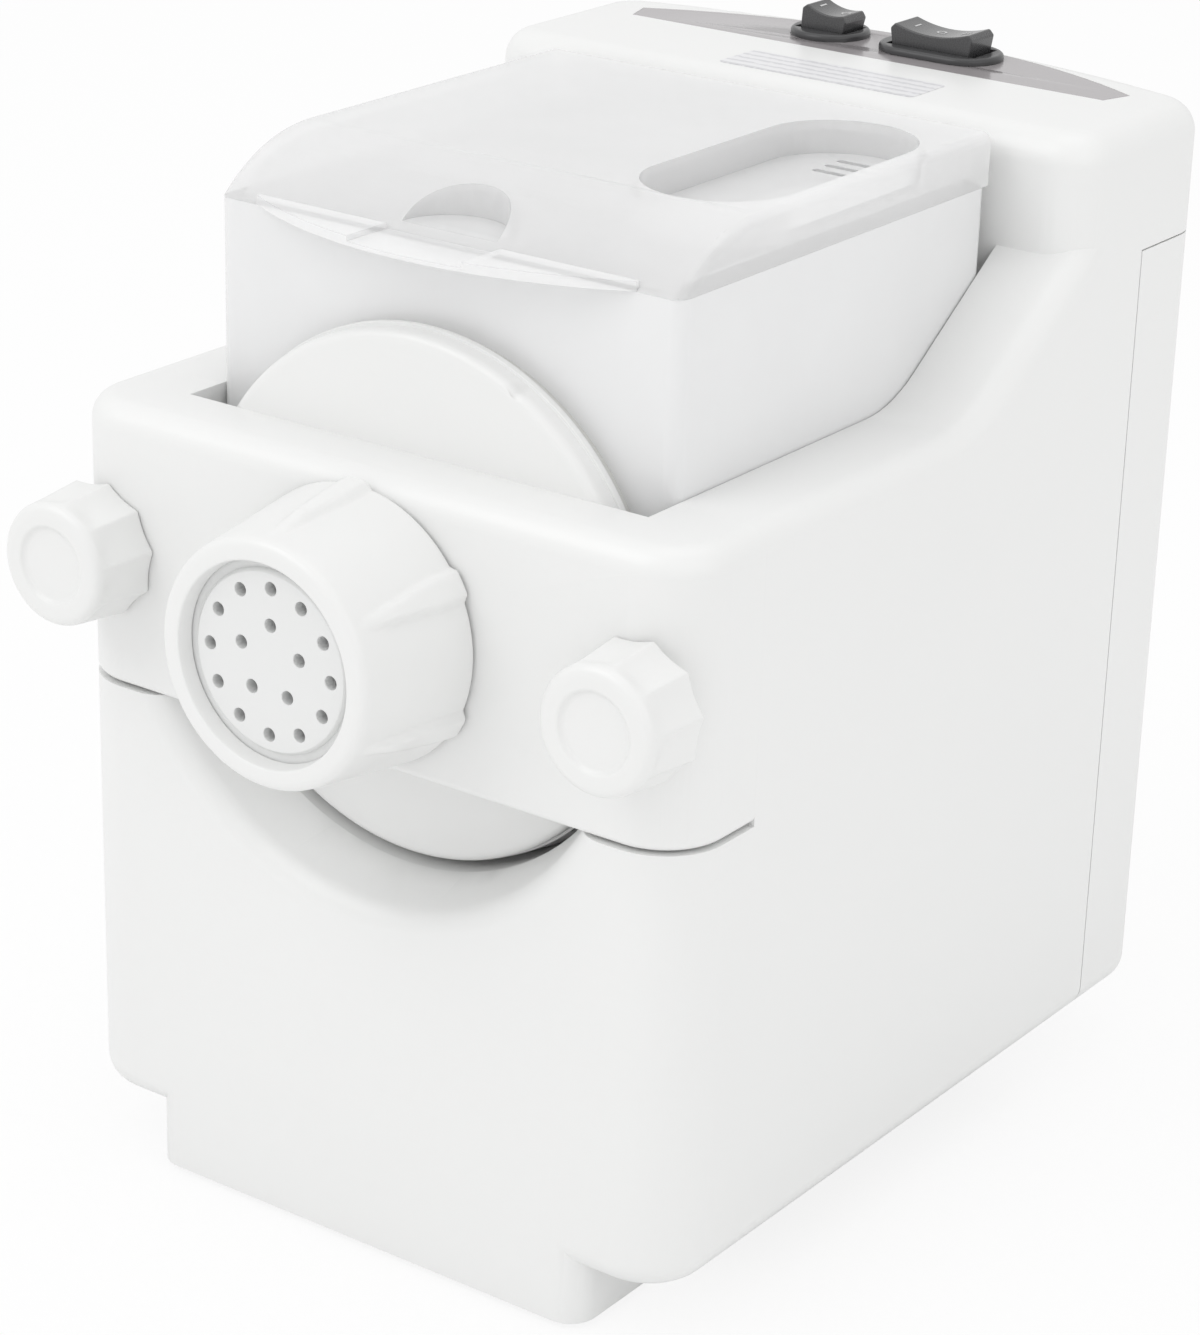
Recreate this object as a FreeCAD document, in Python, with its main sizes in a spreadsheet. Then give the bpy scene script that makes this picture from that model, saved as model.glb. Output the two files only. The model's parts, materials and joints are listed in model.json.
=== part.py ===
# Electric pasta maker: a countertop dough mixer and extruder with interchangeable dies.
# Millimetres. Each piece is drawn with Y = 0 on the clamp bracket's front face, and then
# set back so that the origin is under the middle of the machine, at table level.
# X is to the right, Y to the rear and Z up.

import FreeCAD, Part
import math
import os
import Sketcher

doc = FreeCAD.newDocument("PastaMaker")
sheet = doc.addObject("Spreadsheet::Sheet", "Sizes")
Vector = FreeCAD.Vector


class Size:
    """A number that carries the sheet expression it comes from."""

    def __init__(self, value, text):
        self.value = value
        self.text = text

    def __add__(self, other):
        return combine(self, "+", other)

    def __radd__(self, other):
        return combine(other, "+", self)

    def __sub__(self, other):
        return combine(self, "-", other)

    def __rsub__(self, other):
        return combine(other, "-", self)

    def __mul__(self, other):
        return combine(self, "*", other)

    def __rmul__(self, other):
        return combine(other, "*", self)

    def __truediv__(self, other):
        return combine(self, "/", other)

    def __neg__(self):
        return Size(-self.value, f"(-{self.text})")


def as_size(number):
    return number if isinstance(number, Size) else Size(float(number), repr(float(number)))


def combine(left, sign, right):
    a, b = as_size(left), as_size(right)
    results = {"+": a.value + b.value, "-": a.value - b.value, "*": a.value * b.value}
    value = a.value / b.value if sign == "/" else results[sign]
    return Size(value, f"({a.text} {sign} {b.text})")


def root_of(number):
    number = as_size(number)
    return Size(math.sqrt(number.value), f"sqrt({number.text})")


def sine(degrees):
    degrees = as_size(degrees)
    return Size(math.sin(math.radians(degrees.value)), f"sin({degrees.text})")


def cosine(degrees):
    degrees = as_size(degrees)
    return Size(math.cos(math.radians(degrees.value)), f"cos({degrees.text})")


sheet_rows = 0


def size(alias, number):
    """Writes one driving dimension into the sheet and hands back its Size."""
    global sheet_rows
    sheet_rows += 1
    sheet.set(f"A{sheet_rows}", alias)
    sheet.set(f"B{sheet_rows}", str(number))
    sheet.setAlias(f"B{sheet_rows}", alias)
    return Size(float(number), f"Sizes.{alias}")


# Housing
bodyWidth = size("bodyWidth", 200)
wallThickness = size("wallThickness", 3)
standHeight = size("standHeight", 18)
rimHeight = size("rimHeight", 220)
towerHeight = size("towerHeight", 286)
towerFront = size("towerFront", 180)
towerCorner = size("towerCorner", 14)
towerTopRound = size("towerTopRound", 9)
rimRound = size("rimRound", 7)
frontCorner = size("frontCorner", 18)
footRound = size("footRound", 8)
footFlange = size("footFlange", 14)
footFlangeHeight = size("footFlangeHeight", 7)
rampStart = size("rampStart", 118)
rampRadius = size("rampRadius", 40)
rampAngle = size("rampAngle", 34)
coverSeam = size("coverSeam", 213)
coverTop = size("coverTop", 250)
rearReach = size("rearReach", 262)
rearBow = size("rearBow", 307)
rearCorner = size("rearCorner", 14)
bulkheadDepth = size("bulkheadDepth", 6)
scoopMargin = size("scoopMargin", 6)

# Front bracket, its studs and thumb knobs
bracketBottom = size("bracketBottom", 142.3)
bracketGap = size("bracketGap", 0.8)
bracketDepth = size("bracketDepth", 32)
bracketMiddle = size("bracketMiddle", 20)
bracketRound = size("bracketRound", 7)
studSpread = size("studSpread", 174.4)
studRadius = size("studRadius", 4)
studReach = size("studReach", 13)
studFlange = size("studFlange", 8)
knobLength = size("knobLength", 20)
knobRadius = size("knobRadius", 18.6)
knobFront = size("knobFront", 16.6)
knobDish = size("knobDish", 10.2)
knobFlutes = size("knobFlutes", 10)
knobEdge = size("knobEdge", 4)
knobDishDepth = size("knobDishDepth", 1.2)
fluteRadius = size("fluteRadius", 14)
fluteDepth = size("fluteDepth", 1.1)
runningGap = size("runningGap", 0.05)
faceGap = size("faceGap", 0.3)

# Extruder front
axisHeight = size("axisHeight", 180.2)
plateRadius = size("plateRadius", 71.5)
plateDepth = size("plateDepth", 8)
barrelRadius = size("barrelRadius", 30)
barrelBore = size("barrelBore", 22)
barrelReach = size("barrelReach", 30)
nutReach = size("nutReach", 38)
nutRear = size("nutRear", 37.2)
nutFront = size("nutFront", 32.4)
nutRib = size("nutRib", 1.8)
nutRibWidth = size("nutRibWidth", 9)
nutRibs = size("nutRibs", 6)
nutMouth = size("nutMouth", 26.9)
dieFace = size("dieFace", 24)
dieFlange = size("dieFlange", 29.4)
dieFlangeDepth = size("dieFlangeDepth", 3)
dieRaise = size("dieRaise", 1.5)
dieHole = size("dieHole", 1.8)
dieOuterRing = size("dieOuterRing", 19.3)
dieInnerRing = size("dieInnerRing", 9.7)
dieOuterHoles = size("dieOuterHoles", 12)
dieInnerHoles = size("dieInnerHoles", 5)
dieOuterTurn = size("dieOuterTurn", 118.8)
dieInnerTurn = size("dieInnerTurn", 88.8)
nutGap = size("nutGap", 0.8)
nutEdge = size("nutEdge", 3)
plateRound = size("plateRound", 3)
funnelStep = size("funnelStep", 4)

# Mixing bowl and lid
bowlWidth = size("bowlWidth", 146)
bowlFront = size("bowlFront", 31.5)
bowlRear = size("bowlRear", 174)
bowlTop = size("bowlTop", 271)
bowlWall = size("bowlWall", 2.5)
bowlCorner = size("bowlCorner", 4)
bowlMouth = size("bowlMouth", 60)
bayGap = size("bayGap", 0.4)
lidHeight = size("lidHeight", 14.5)
lidWall = size("lidWall", 3.1)
lidFrontRadius = size("lidFrontRadius", 50)
lidRound = size("lidRound", 3)
lidRingDepth = size("lidRingDepth", 3.5)
lidRingWall = size("lidRingWall", 1.8)
lidFit = size("lidFit", 0.4)
lipReach = size("lipReach", 16)
lipRadius = size("lipRadius", 120)
lipThickness = size("lipThickness", 2.6)
scoopRadius = size("scoopRadius", 15)
scoopWall = size("scoopWall", 2.5)
troughAcross = size("troughAcross", 47)
troughAlong = size("troughAlong", 113)
troughWidth = size("troughWidth", 42)
troughLength = size("troughLength", 96)
troughDepth = size("troughDepth", 9)
troughWall = size("troughWall", 2.2)
tabAcross = size("tabAcross", 57)
tabWidth = size("tabWidth", 4.2)
tabHeight = size("tabHeight", 5)
tabLength = size("tabLength", 14)
tabAxis = size("tabAxis", 276.5)
slotWidth = size("slotWidth", 5.6)
slotHeight = size("slotHeight", 10.4)
slotRise = size("slotRise", 3.3)
scoopFloor = size("scoopFloor", 0.6)
scoopBase = size("scoopBase", 2)
scoopBack = size("scoopBack", 4)
drainSlots = 3
drainInset = size("drainInset", 10)
drainPitch = size("drainPitch", 6)
drainLength = size("drainLength", 14)
drainWidth = size("drainWidth", 2.4)

# Mixing paddle and extruding screw
paddleHub = size("paddleHub", 9)
paddleReach = size("paddleReach", 61)
paddleWidth = size("paddleWidth", 12)
paddleThick = size("paddleThick", 6)
paddleSpacing = size("paddleSpacing", 32)
screwRadius = size("screwRadius", 21)
screwPitch = size("screwPitch", 19)
screwFlight = size("screwFlight", 3)
paddleGap = size("paddleGap", 1.5)
paddleBossWall = size("paddleBossWall", 4)
paddleStart = size("paddleStart", 22)
paddleLean = size("paddleLean", 25)

# Drive
driveRadius = size("driveRadius", 8)
driveFlat = size("driveFlat", 2)
socketDepth = size("socketDepth", 14)
bushRadius = size("bushRadius", 12)
gearPlateThick = size("gearPlateThick", 3)
gearPlateFront = size("gearPlateFront", 188)
gearPlateRear = size("gearPlateRear", 234)
fineModule = size("fineModule", 1.25)
coarseModule = size("coarseModule", 2)
motorTeeth = size("motorTeeth", 12)
idlerTeeth = size("idlerTeeth", 60)
idlerPinionTeeth = size("idlerPinionTeeth", 14)
outputTeeth = size("outputTeeth", 57)
fineFace = size("fineFace", 10)
coarseFace = size("coarseFace", 18)
gearBacklash = size("gearBacklash", 0.3)
gearSpace = size("gearSpace", 3)
webRim = size("webRim", 9)
webHub = size("webHub", 7)
webHoles = 6
flankSteps = 3
idlerPin = size("idlerPin", 5)
postRadius = size("postRadius", 4)
postSpread = size("postSpread", 124)
postSeat = size("postSeat", 2)
gearPlateWidth = size("gearPlateWidth", 138)
gearPlateEdge = size("gearPlateEdge", 10)
shaftNose = size("shaftNose", 4)
sealProud = size("sealProud", 1)
motorRadius = size("motorRadius", 30)
motorLength = size("motorLength", 82)
motorRear = size("motorRear", 168)
motorEnd = size("motorEnd", 4)
motorShaft = size("motorShaft", 4)
rotorRadius = size("rotorRadius", 18)
rotorSpace = size("rotorSpace", 6)
fanRadius = size("fanRadius", 24)
fanSpace = size("fanSpace", 4)
fanLength = size("fanLength", 12)
fanBlade = size("fanBlade", 2)
fanBlades = size("fanBlades", 7)
saddleLength = size("saddleLength", 12)
saddleHalf = size("saddleHalf", 24)
canRadius = size("canRadius", 17)
canAcross = size("canAcross", 58)
canFront = size("canFront", 98)
canLength = size("canLength", 50)
interlockSpace = size("interlockSpace", 12)
interlockWidth = size("interlockWidth", 12)
interlockLength = size("interlockLength", 18)
interlockHeight = size("interlockHeight", 16)
buttonSize = size("buttonSize", 4)

# Controls
panelFront = size("panelFront", 223.5)
panelHalf = size("panelHalf", 82)
panelApex = size("panelApex", 255.5)
panelRadius = size("panelRadius", 163)
panelThick = size("panelThick", 1.5)
smallSwitchX = size("smallSwitchX", -21.5)
mainSwitchX = size("mainSwitchX", 16)
switchY = size("switchY", 242)
bezelHeight = size("bezelHeight", 2)
smallBezel = size("smallBezel", 11.6)
mainBezelLength = size("mainBezelLength", 38)
mainBezelWidth = size("mainBezelWidth", 22)
smallRockerLength = size("smallRockerLength", 17)
smallRockerWidth = size("smallRockerWidth", 12)
mainRockerLength = size("mainRockerLength", 29)
mainRockerWidth = size("mainRockerWidth", 13)
rockerRise = size("rockerRise", 6)
switchDepth = size("switchDepth", 22)
caseWall = size("caseWall", 1)
wellDepth = size("wellDepth", 6)
rockerEndGap = size("rockerEndGap", 0.9)
rockerRound = size("rockerRound", 1.5)
rockerSag = size("rockerSag", 0.07)
rockerTilt = size("rockerTilt", 9)

# Underside
plinthWidth = size("plinthWidth", 146)
plinthDepth = size("plinthDepth", 46)
basePlateThick = size("basePlateThick", 3)
trayInset = size("trayInset", 1)
trayRear = size("trayRear", 232)
padRadius = size("padRadius", 9)
padThick = size("padThick", 3)
padProud = size("padProud", 1.5)
padGap = size("padGap", 0.2)
screwHead = size("screwHead", 3)
screwHeadDepth = size("screwHeadDepth", 1.8)
padSpread = size("padSpread", 112)
plinthCorner = size("plinthCorner", 8)

# Rear cover
ventRows = 7
ventLow = size("ventLow", 60)
ventPitch = size("ventPitch", 9)
ventLength = size("ventLength", 90)
ventWidth = size("ventWidth", 3.4)
glandAcross = size("glandAcross", 62)
glandHeight = size("glandHeight", 45)
glandRadius = size("glandRadius", 7)
glandInside = size("glandInside", 12)
glandProud = size("glandProud", 4)
glandLip = size("glandLip", 3)

halfBody = bodyWidth / 2
lipHalf = root_of(lipRadius * lipRadius - (lipRadius - lipReach) * (lipRadius - lipReach))
halfBowl = bowlWidth / 2
setBack = (nutReach - rearReach) / 2
lidTop = bowlTop + lidHeight
bayHalf = halfBowl + bayGap
bracketTop = rimHeight
motorAxis = axisHeight - coarseModule * (idlerPinionTeeth + outputTeeth) / 2 \
    - fineModule * (motorTeeth + idlerTeeth) / 2
idlerAxis = motorAxis + fineModule * (motorTeeth + idlerTeeth) / 2
towerTop = towerHeight
postLow = motorAxis - bushRadius
postHigh = axisHeight + outputTeeth * coarseModule / 2 + postRadius * 2


def origin_plane(body, role):
    return next(item for item in body.Origin.OriginFeatures if item.Role == role)


def new_body(label, x=0.0, z=0.0):
    """A body whose drawing frame is set back, and stands at x and z where a round piece's axis is."""
    body = doc.addObject("PartDesign::Body", label)
    body.Label = label
    for axis, place in (("x", x), ("y", setBack), ("z", z)):
        body.setExpression(f"Placement.Base.{axis}", as_size(place).text)
    return body


def new_sketch(body, name, role, offset=0.0):
    """A sketch on one of the body's own planes, moved along that plane's normal."""
    sketch = body.newObject("Sketcher::SketchObject", name)
    sketch.AttachmentSupport = [(origin_plane(body, role), "")]
    sketch.MapMode = "FlatFace"
    offset = as_size(offset)
    sketch.AttachmentOffset = FreeCAD.Placement(Vector(0, 0, offset.value), FreeCAD.Rotation())
    if "Sizes" in offset.text:
        sketch.setExpression("AttachmentOffset.Base.z", offset.text)
    return sketch


def hold(sketch, kind, *where, number):
    """Adds one dimension and binds it to the sheet."""
    number = as_size(number)
    index = sketch.addConstraint(Sketcher.Constraint(kind, *where, number.value))
    if "Sizes" in number.text:
        name = f"d{index}"
        sketch.renameConstraint(index, name)
        sketch.setExpression(f"Constraints.{name}", number.text)


def draw_outline(sketch, corners):
    """A closed outline. A corner is (x, y), or (x, y, radius) where the edge to the next corner
    is an arc under a half turn: positive bulges to the right of the way there, negative left."""
    count = len(corners)
    points = [Vector(as_size(c[0]).value, as_size(c[1]).value, 0) for c in corners]
    edges = []
    for index, corner in enumerate(corners):
        a, b = points[index], points[(index + 1) % count]
        bulge = as_size(corner[2]).value if len(corner) == 3 else 0.0
        if not bulge:
            edge = Part.LineSegment(a, b)
        elif bulge > 0:
            edge = Part.Arc(a, arc_middle(a, b, bulge), b)
        else:
            edge = Part.Arc(b, arc_middle(a, b, bulge), a)
        number = sketch.addGeometry(edge, False)
        edges.append((number, 2, 1) if bulge < 0 else (number, 1, 2))
    for index, corner in enumerate(corners):
        number, begin, end = edges[index]
        following = edges[(index + 1) % count]
        sketch.addConstraint(Sketcher.Constraint("Coincident", number, end, following[0], following[1]))
        hold(sketch, "DistanceX", -1, 1, number, begin, number=corner[0])
        hold(sketch, "DistanceY", -1, 1, number, begin, number=corner[1])
        if len(corner) == 3:
            radius = as_size(corner[2])
            hold(sketch, "Radius", number, number=radius if radius.value > 0 else -radius)
    return sketch


def draw_route(sketch, stops, radius):
    """A line, an arc that bulges to the right of travel, and a line, through four points."""
    points = [Vector(as_size(x).value, as_size(y).value, 0) for x, y in stops]
    bend = Part.Arc(points[1], arc_middle(points[1], points[2], radius.value), points[2])
    for edge in (Part.LineSegment(points[0], points[1]), bend, Part.LineSegment(points[2], points[3])):
        sketch.addGeometry(edge, False)
    for index, (x, y) in enumerate(stops[:3]):
        hold(sketch, "DistanceX", -1, 1, index, 1, number=x)
        hold(sketch, "DistanceY", -1, 1, index, 1, number=y)
    hold(sketch, "DistanceX", -1, 1, 2, 2, number=stops[3][0])
    hold(sketch, "DistanceY", -1, 1, 2, 2, number=stops[3][1])
    sketch.addConstraint(Sketcher.Constraint("Coincident", 0, 2, 1, 1))
    sketch.addConstraint(Sketcher.Constraint("Coincident", 1, 2, 2, 1))
    hold(sketch, "Radius", 1, number=radius)


def arc_middle(a, b, radius):
    """The middle point of the arc from a to b that bulges right, or left where negative."""
    chord = b - a
    right = Vector(chord.y, -chord.x, 0).normalize() * math.copysign(1, radius)
    sagitta = abs(radius) - math.sqrt(max(radius ** 2 - chord.Length ** 2 / 4, 0))
    return (a + b) / 2 + right * sagitta


def draw_circle(sketch, x, y, radius):
    place = Vector(as_size(x).value, as_size(y).value, 0)
    index = sketch.addGeometry(Part.Circle(place, Vector(0, 0, 1), as_size(radius).value), False)
    hold(sketch, "DistanceX", -1, 1, index, 3, number=x)
    hold(sketch, "DistanceY", -1, 1, index, 3, number=y)
    hold(sketch, "Radius", index, number=radius)
    return sketch


def rectangle(left, right, low, high):
    return [(left, low), (right, low), (right, high), (left, high)]


def rounded(left, right, low, high, radius):
    """A rectangle with four equal round corners, drawn anticlockwise."""
    return [(left + radius, low), (right - radius, low, radius),
            (right, low + radius), (right, high - radius, radius),
            (right - radius, high), (left + radius, high, radius),
            (left, high - radius), (left, low + radius, radius)]


def obround(x, y, width, length):
    """A slot along the sketch's second axis, its ends in quarter turns."""
    r = width / 2
    low = y - length / 2 + r
    high = y + length / 2 - r
    return [(x + r, low), (x + r, high, r), (x, high + r, r), (x - r, high),
            (x - r, low, r), (x, low - r, r)]


def feature(body, kind, name, sketch, **settings):
    made = body.newObject(f"PartDesign::{kind}", name)
    made.Profile = sketch
    for key, number in settings.items():
        if isinstance(number, Size):
            setattr(made, key, number.value)
            if "Sizes" in number.text:
                made.setExpression(key, number.text)
        else:
            setattr(made, key, number)
    sketch.Visibility = False
    return made


def pad(body, name, sketch, length, **settings):
    return feature(body, "Pad", name, sketch, Length=as_size(length), **settings)


def pocket(body, name, sketch, length, **settings):
    return feature(body, "Pocket", name, sketch, Length=as_size(length), **settings)


def turn(body, kind, name, sketch, height=0.0):
    """Turns a side-view sketch about a level line at a given height."""
    level = as_size(height)
    line = sketch.addGeometry(Part.LineSegment(Vector(0, level.value, 0),
                                               Vector(1, level.value, 0)), True)
    sketch.addConstraint(Sketcher.Constraint("Horizontal", line))
    hold(sketch, "DistanceY", -1, 1, line, 1, number=level)
    made = body.newObject(f"PartDesign::{kind}", name)
    made.Profile = sketch
    made.ReferenceAxis = (sketch, ["Axis0"])
    made.Angle = 360
    sketch.Visibility = False
    return made


def rod(body, name, x, z, radius, start, end):
    """A round bar along Y from start to end."""
    length = as_size(end) - start
    circle = draw_circle(new_sketch(body, name + "Section", "XZ_Plane", -as_size(end)), x, z, radius)
    return pad(body, name, circle, length)


def bore(body, name, x, z, radius, start, end):
    length = as_size(end) - start
    circle = draw_circle(new_sketch(body, name + "Section", "XZ_Plane", -as_size(end)), x, z, radius)
    return pocket(body, name, circle, length, Reversed=True)


def dress(body, kind, name, base, test, radius):
    """Rounds or chamfers the base's edges that pass a test."""
    doc.recompute()
    chosen = [f"Edge{index + 1}" for index, edge in enumerate(base.Shape.Edges) if test(edge)]
    made = body.newObject(f"PartDesign::{kind}", name)
    made.Base = (base, chosen)
    key = "Radius" if kind == "Fillet" else "Size"
    setattr(made, key, as_size(radius).value)
    if "Sizes" in as_size(radius).text:
        made.setExpression(key, as_size(radius).text)
    return made


def polar(body, name, originals, count, role="Y_Axis", sweep=360.0):
    made = body.newObject("PartDesign::PolarPattern", name)
    made.Originals = originals
    made.Axis = (origin_plane(body, role), [""])
    made.Angle = sweep
    made.Occurrences = int(as_size(count).value)
    if isinstance(count, Size):
        made.setExpression("Occurrences", count.text)
    body.Tip = made
    return made


def mirrored(body, name, originals, role="YZ_Plane"):
    made = body.newObject("PartDesign::Mirrored", name)
    made.Originals = originals
    made.MirrorPlane = (origin_plane(body, role), [""])
    body.Tip = made
    return made


def near(number, target, slack=0.02):
    return abs(number - as_size(target).value) < slack


def centre(edge):
    return edge.BoundBox.Center


def along(edge, axis):
    """True for a straight edge that runs along one axis."""
    box = edge.BoundBox
    lengths = {"x": box.XLength, "y": box.YLength, "z": box.ZLength}
    others = [value for key, value in lengths.items() if key != axis]
    return lengths[axis] > 0.5 and max(others) < 0.001


def rear_plan(inset, front, corner):
    """Plan corners of the tower's bowed rear, from a front line back, moved in by an inset."""
    side = halfBody - inset
    bow = rearBow - inset
    hub = rearReach - rearBow
    reach = hub + root_of((bow - corner) * (bow - corner) - (side - corner) * (side - corner))
    share = bow / (bow - corner)
    touchX = (side - corner) * share
    touchY = hub + (reach - hub) * share
    return [(side, front), (side, reach, corner), (touchX, touchY, bow),
            (-touchX, touchY, corner), (-side, reach), (-side, front)]


def bay_outline(half, top, radius_base):
    """The trough-shaped section of the bowl and of the bay that holds it."""
    return [(half, axisHeight), (half, top), (-half, top), (-half, axisHeight, radius_base),
            (0, axisHeight - half, radius_base)]


def make_housing():
    body = new_body("main_housing")
    rise = rampRadius * (1 - cosine(rampAngle))
    run = rampRadius * sine(rampAngle)
    slope = sine(rampAngle) / cosine(rampAngle)
    rampEnd = rimHeight + rise + (towerFront - rampStart - run) * slope
    side = draw_outline(new_sketch(body, "SideView", "YZ_Plane"), [
        (0, standHeight), (coverSeam, standHeight), (coverSeam, coverTop), (rearReach, coverTop),
        (rearReach, towerTop), (towerFront, towerTop), (towerFront, rampEnd),
        (rampStart + run, rimHeight + rise, -rampRadius), (rampStart, rimHeight),
        (bracketDepth, rimHeight), (bracketDepth, bracketBottom - bracketGap),
        (0, bracketBottom - bracketGap)])
    pad(body, "Block", side, bodyWidth, Midplane=True)

    plan = new_sketch(body, "PlanTrim", "XY_Plane")
    draw_outline(plan, rectangle(-bodyWidth, bodyWidth, -frontCorner, rearReach + frontCorner))
    rear = rear_plan(as_size(0), towerFront, rearCorner)
    draw_outline(plan, [(-halfBody + frontCorner, 0), (halfBody - frontCorner, 0, frontCorner),
                        (halfBody, frontCorner)] + rear[1:-1]
                 + [(-halfBody, frontCorner, frontCorner)])
    trimmed = pocket(body, "RoundPlan", plan, towerHeight * 2, Reversed=True)

    upright = dress(body, "Fillet", "TowerCorners", trimmed,
                    lambda e: along(e, "z") and near(centre(e).y, towerFront)
                    and near(abs(centre(e).x), halfBody), towerCorner)
    crown = dress(body, "Fillet", "TowerCrown", upright,
                  lambda e: near(e.BoundBox.ZMin, towerTop) and near(e.BoundBox.ZMax, towerTop),
                  towerTopRound)
    dress(body, "Fillet", "LowerEdge", crown,
          lambda e: near(e.BoundBox.ZMin, standHeight) and near(e.BoundBox.ZMax, standHeight)
          and centre(e).y < coverSeam.value - 1, footRound)
    apron = draw_outline(new_sketch(body, "ApronPlan", "XY_Plane", padProud), rounded(
        -plinthWidth / 2, plinthWidth / 2, 0, plinthDepth, plinthCorner))
    pad(body, "Apron", apron, standHeight + footRound - padProud)

    route = new_sketch(body, "RimRoute", "YZ_Plane")
    stops = [(bracketDepth - 1, rimHeight), (rampStart, rimHeight),
             (rampStart + run, rimHeight + rise), (towerFront + 1, rampEnd + slope)]
    draw_route(route, stops, rampRadius)
    for side in (-1, 1):
        edge = halfBody * side
        within = (halfBody - rimRound) * side
        beyond = (halfBody + 1) * side
        corner = draw_outline(new_sketch(body, f"RimSection{side + 1}", "XZ_Plane", 1 - bracketDepth), [
            (within, rimHeight, rimRound * -side), (edge, rimHeight - rimRound),
            (beyond, rimHeight - rimRound), (beyond, rimHeight + 1), (within, rimHeight + 1)])
        rim = body.newObject("PartDesign::SubtractivePipe", f"RimRounding{side + 1}")
        rim.Profile = corner
        rim.Spine = (route, [])

    bay = draw_outline(new_sketch(body, "BowlBay", "XZ_Plane", -towerFront),
                       bay_outline(bayHalf, towerHeight * 2, bayHalf))
    pocket(body, "Bay", bay, towerFront - bracketMiddle, Reversed=True)

    deepest = axisHeight - bayHalf - scoopMargin
    shallow = axisHeight - bayHalf + bayGap / 2
    scoop = draw_outline(new_sketch(body, "ScoopView", "YZ_Plane"), [
        (-1, axisHeight), (-1, deepest), (0, deepest), (bracketMiddle, shallow),
        (bracketMiddle + 1, shallow), (bracketMiddle + 1, axisHeight)])
    turn(body, "Groove", "FingerScoop", scoop, axisHeight)

    inner = wallThickness
    floor = standHeight + footFlangeHeight
    channel = draw_outline(new_sketch(body, "SideChannels", "XZ_Plane", -(towerFront - inner)), [
        (halfBody - inner, floor), (halfBody - inner, rimHeight - inner * 2),
        (bayHalf + inner, rimHeight - inner * 2), (bayHalf + inner, axisHeight, -(bayHalf + inner)),
        (0, axisHeight - bayHalf - inner, -(bayHalf + inner)),
        (-bayHalf - inner, axisHeight), (-bayHalf - inner, rimHeight - inner * 2),
        (-halfBody + inner, rimHeight - inner * 2), (-halfBody + inner, floor)])
    pocket(body, "Channels", channel, towerFront - inner * 2 - bracketDepth, Reversed=True)

    front = draw_outline(new_sketch(body, "FrontHollow", "XY_Plane", floor), [
        (-halfBody + frontCorner, inner), (halfBody - frontCorner, inner, frontCorner - inner),
        (halfBody - inner, frontCorner), (halfBody - inner, bracketDepth + inner + 1),
        (-halfBody + inner, bracketDepth + inner + 1), (-halfBody + inner, frontCorner, frontCorner - inner)])
    pocket(body, "LowerFront", front, axisHeight - bayHalf - scoopMargin - inner - floor,
           Reversed=True)

    turned = towerCorner - inner
    tower = new_sketch(body, "TowerHollow", "XY_Plane", floor)
    walls = rear_plan(inner, towerFront + towerCorner, rearCorner - inner)
    draw_outline(tower, walls[:-1] + [(-halfBody + inner, towerFront + towerCorner, turned),
                                      (-halfBody + towerCorner, towerFront + inner),
                                      (halfBody - towerCorner, towerFront + inner, turned)])
    pocket(body, "Tower", tower, towerTop - inner - floor, Reversed=True)

    opening = draw_outline(new_sketch(body, "FootOpening", "XY_Plane"), rectangle(
        -halfBody + footFlange, halfBody - footFlange, plinthDepth + footFlange / 2, coverSeam + 1))
    pocket(body, "OpenFoot", opening, floor + 1, Reversed=True)
    half = plinthWidth / 2 - inner
    box = draw_outline(new_sketch(body, "ApronInside", "XY_Plane", padThick + inner),
                       rounded(-half, half, inner, plinthDepth - inner, plinthCorner - inner))
    pocket(body, "ApronHollow", box, floor - padThick - inner + 2, Reversed=True)
    seats = new_sketch(body, "PadSeats", "XY_Plane")
    for x in (-padSpread / 2, padSpread / 2):
        draw_circle(seats, x, plinthDepth / 2, padRadius + padGap)
    pocket(body, "PadRecesses", seats, padThick, Reversed=True)
    posts = new_sketch(body, "GearSeats", "XZ_Plane", -gearPlateFront)
    for x in (-postSpread / 2, postSpread / 2):
        for z in (postLow, postHigh):
            draw_circle(posts, x, z, postRadius + postSeat)
    pad(body, "GearBosses", posts, gearPlateFront - towerFront - inner)

    lens = draw_outline(new_sketch(body, "PanelSeat", "XY_Plane", towerTop), lens_outline())
    pocket(body, "PanelRecess", lens, panelThick)
    pocket(body, "SwitchHoles", switch_cuts(body), inner * 2)

    slot = draw_outline(new_sketch(body, "TabSlot", "XZ_Plane", -(towerFront - 1)),
                        rectangle(-tabAcross - slotWidth / 2, -tabAcross + slotWidth / 2,
                                  tabAxis + slotRise - slotHeight, tabAxis + slotRise))
    pocket(body, "TabOpening", slot, inner + 2)

    holes = new_sketch(body, "BulkheadHoles", "XZ_Plane", -(towerFront - bulkheadDepth))
    draw_circle(holes, 0, axisHeight, bushRadius)
    draw_circle(holes, 0, motorAxis, bushRadius)
    pocket(body, "ShaftHoles", holes, bulkheadDepth * 2 + 1)
    studs = new_sketch(body, "StudHoles", "XZ_Plane", -(bracketDepth - 1))
    draw_circle(studs, studSpread / 2, axisHeight, studRadius + 0.1)
    draw_circle(studs, -studSpread / 2, axisHeight, studRadius + 0.1)
    pocket(body, "StudSeats", studs, wallThickness + 2)


def lens_outline():
    """The control panel: a straight front edge, short slanted ends and a long bowed rear edge."""
    hub = panelApex - panelRadius
    tipY = hub + root_of(panelRadius * panelRadius - panelHalf * panelHalf)
    return [(-panelHalf + 3, panelFront), (panelHalf - 3, panelFront),
            (panelHalf, tipY, panelRadius), (-panelHalf, tipY)]


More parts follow.
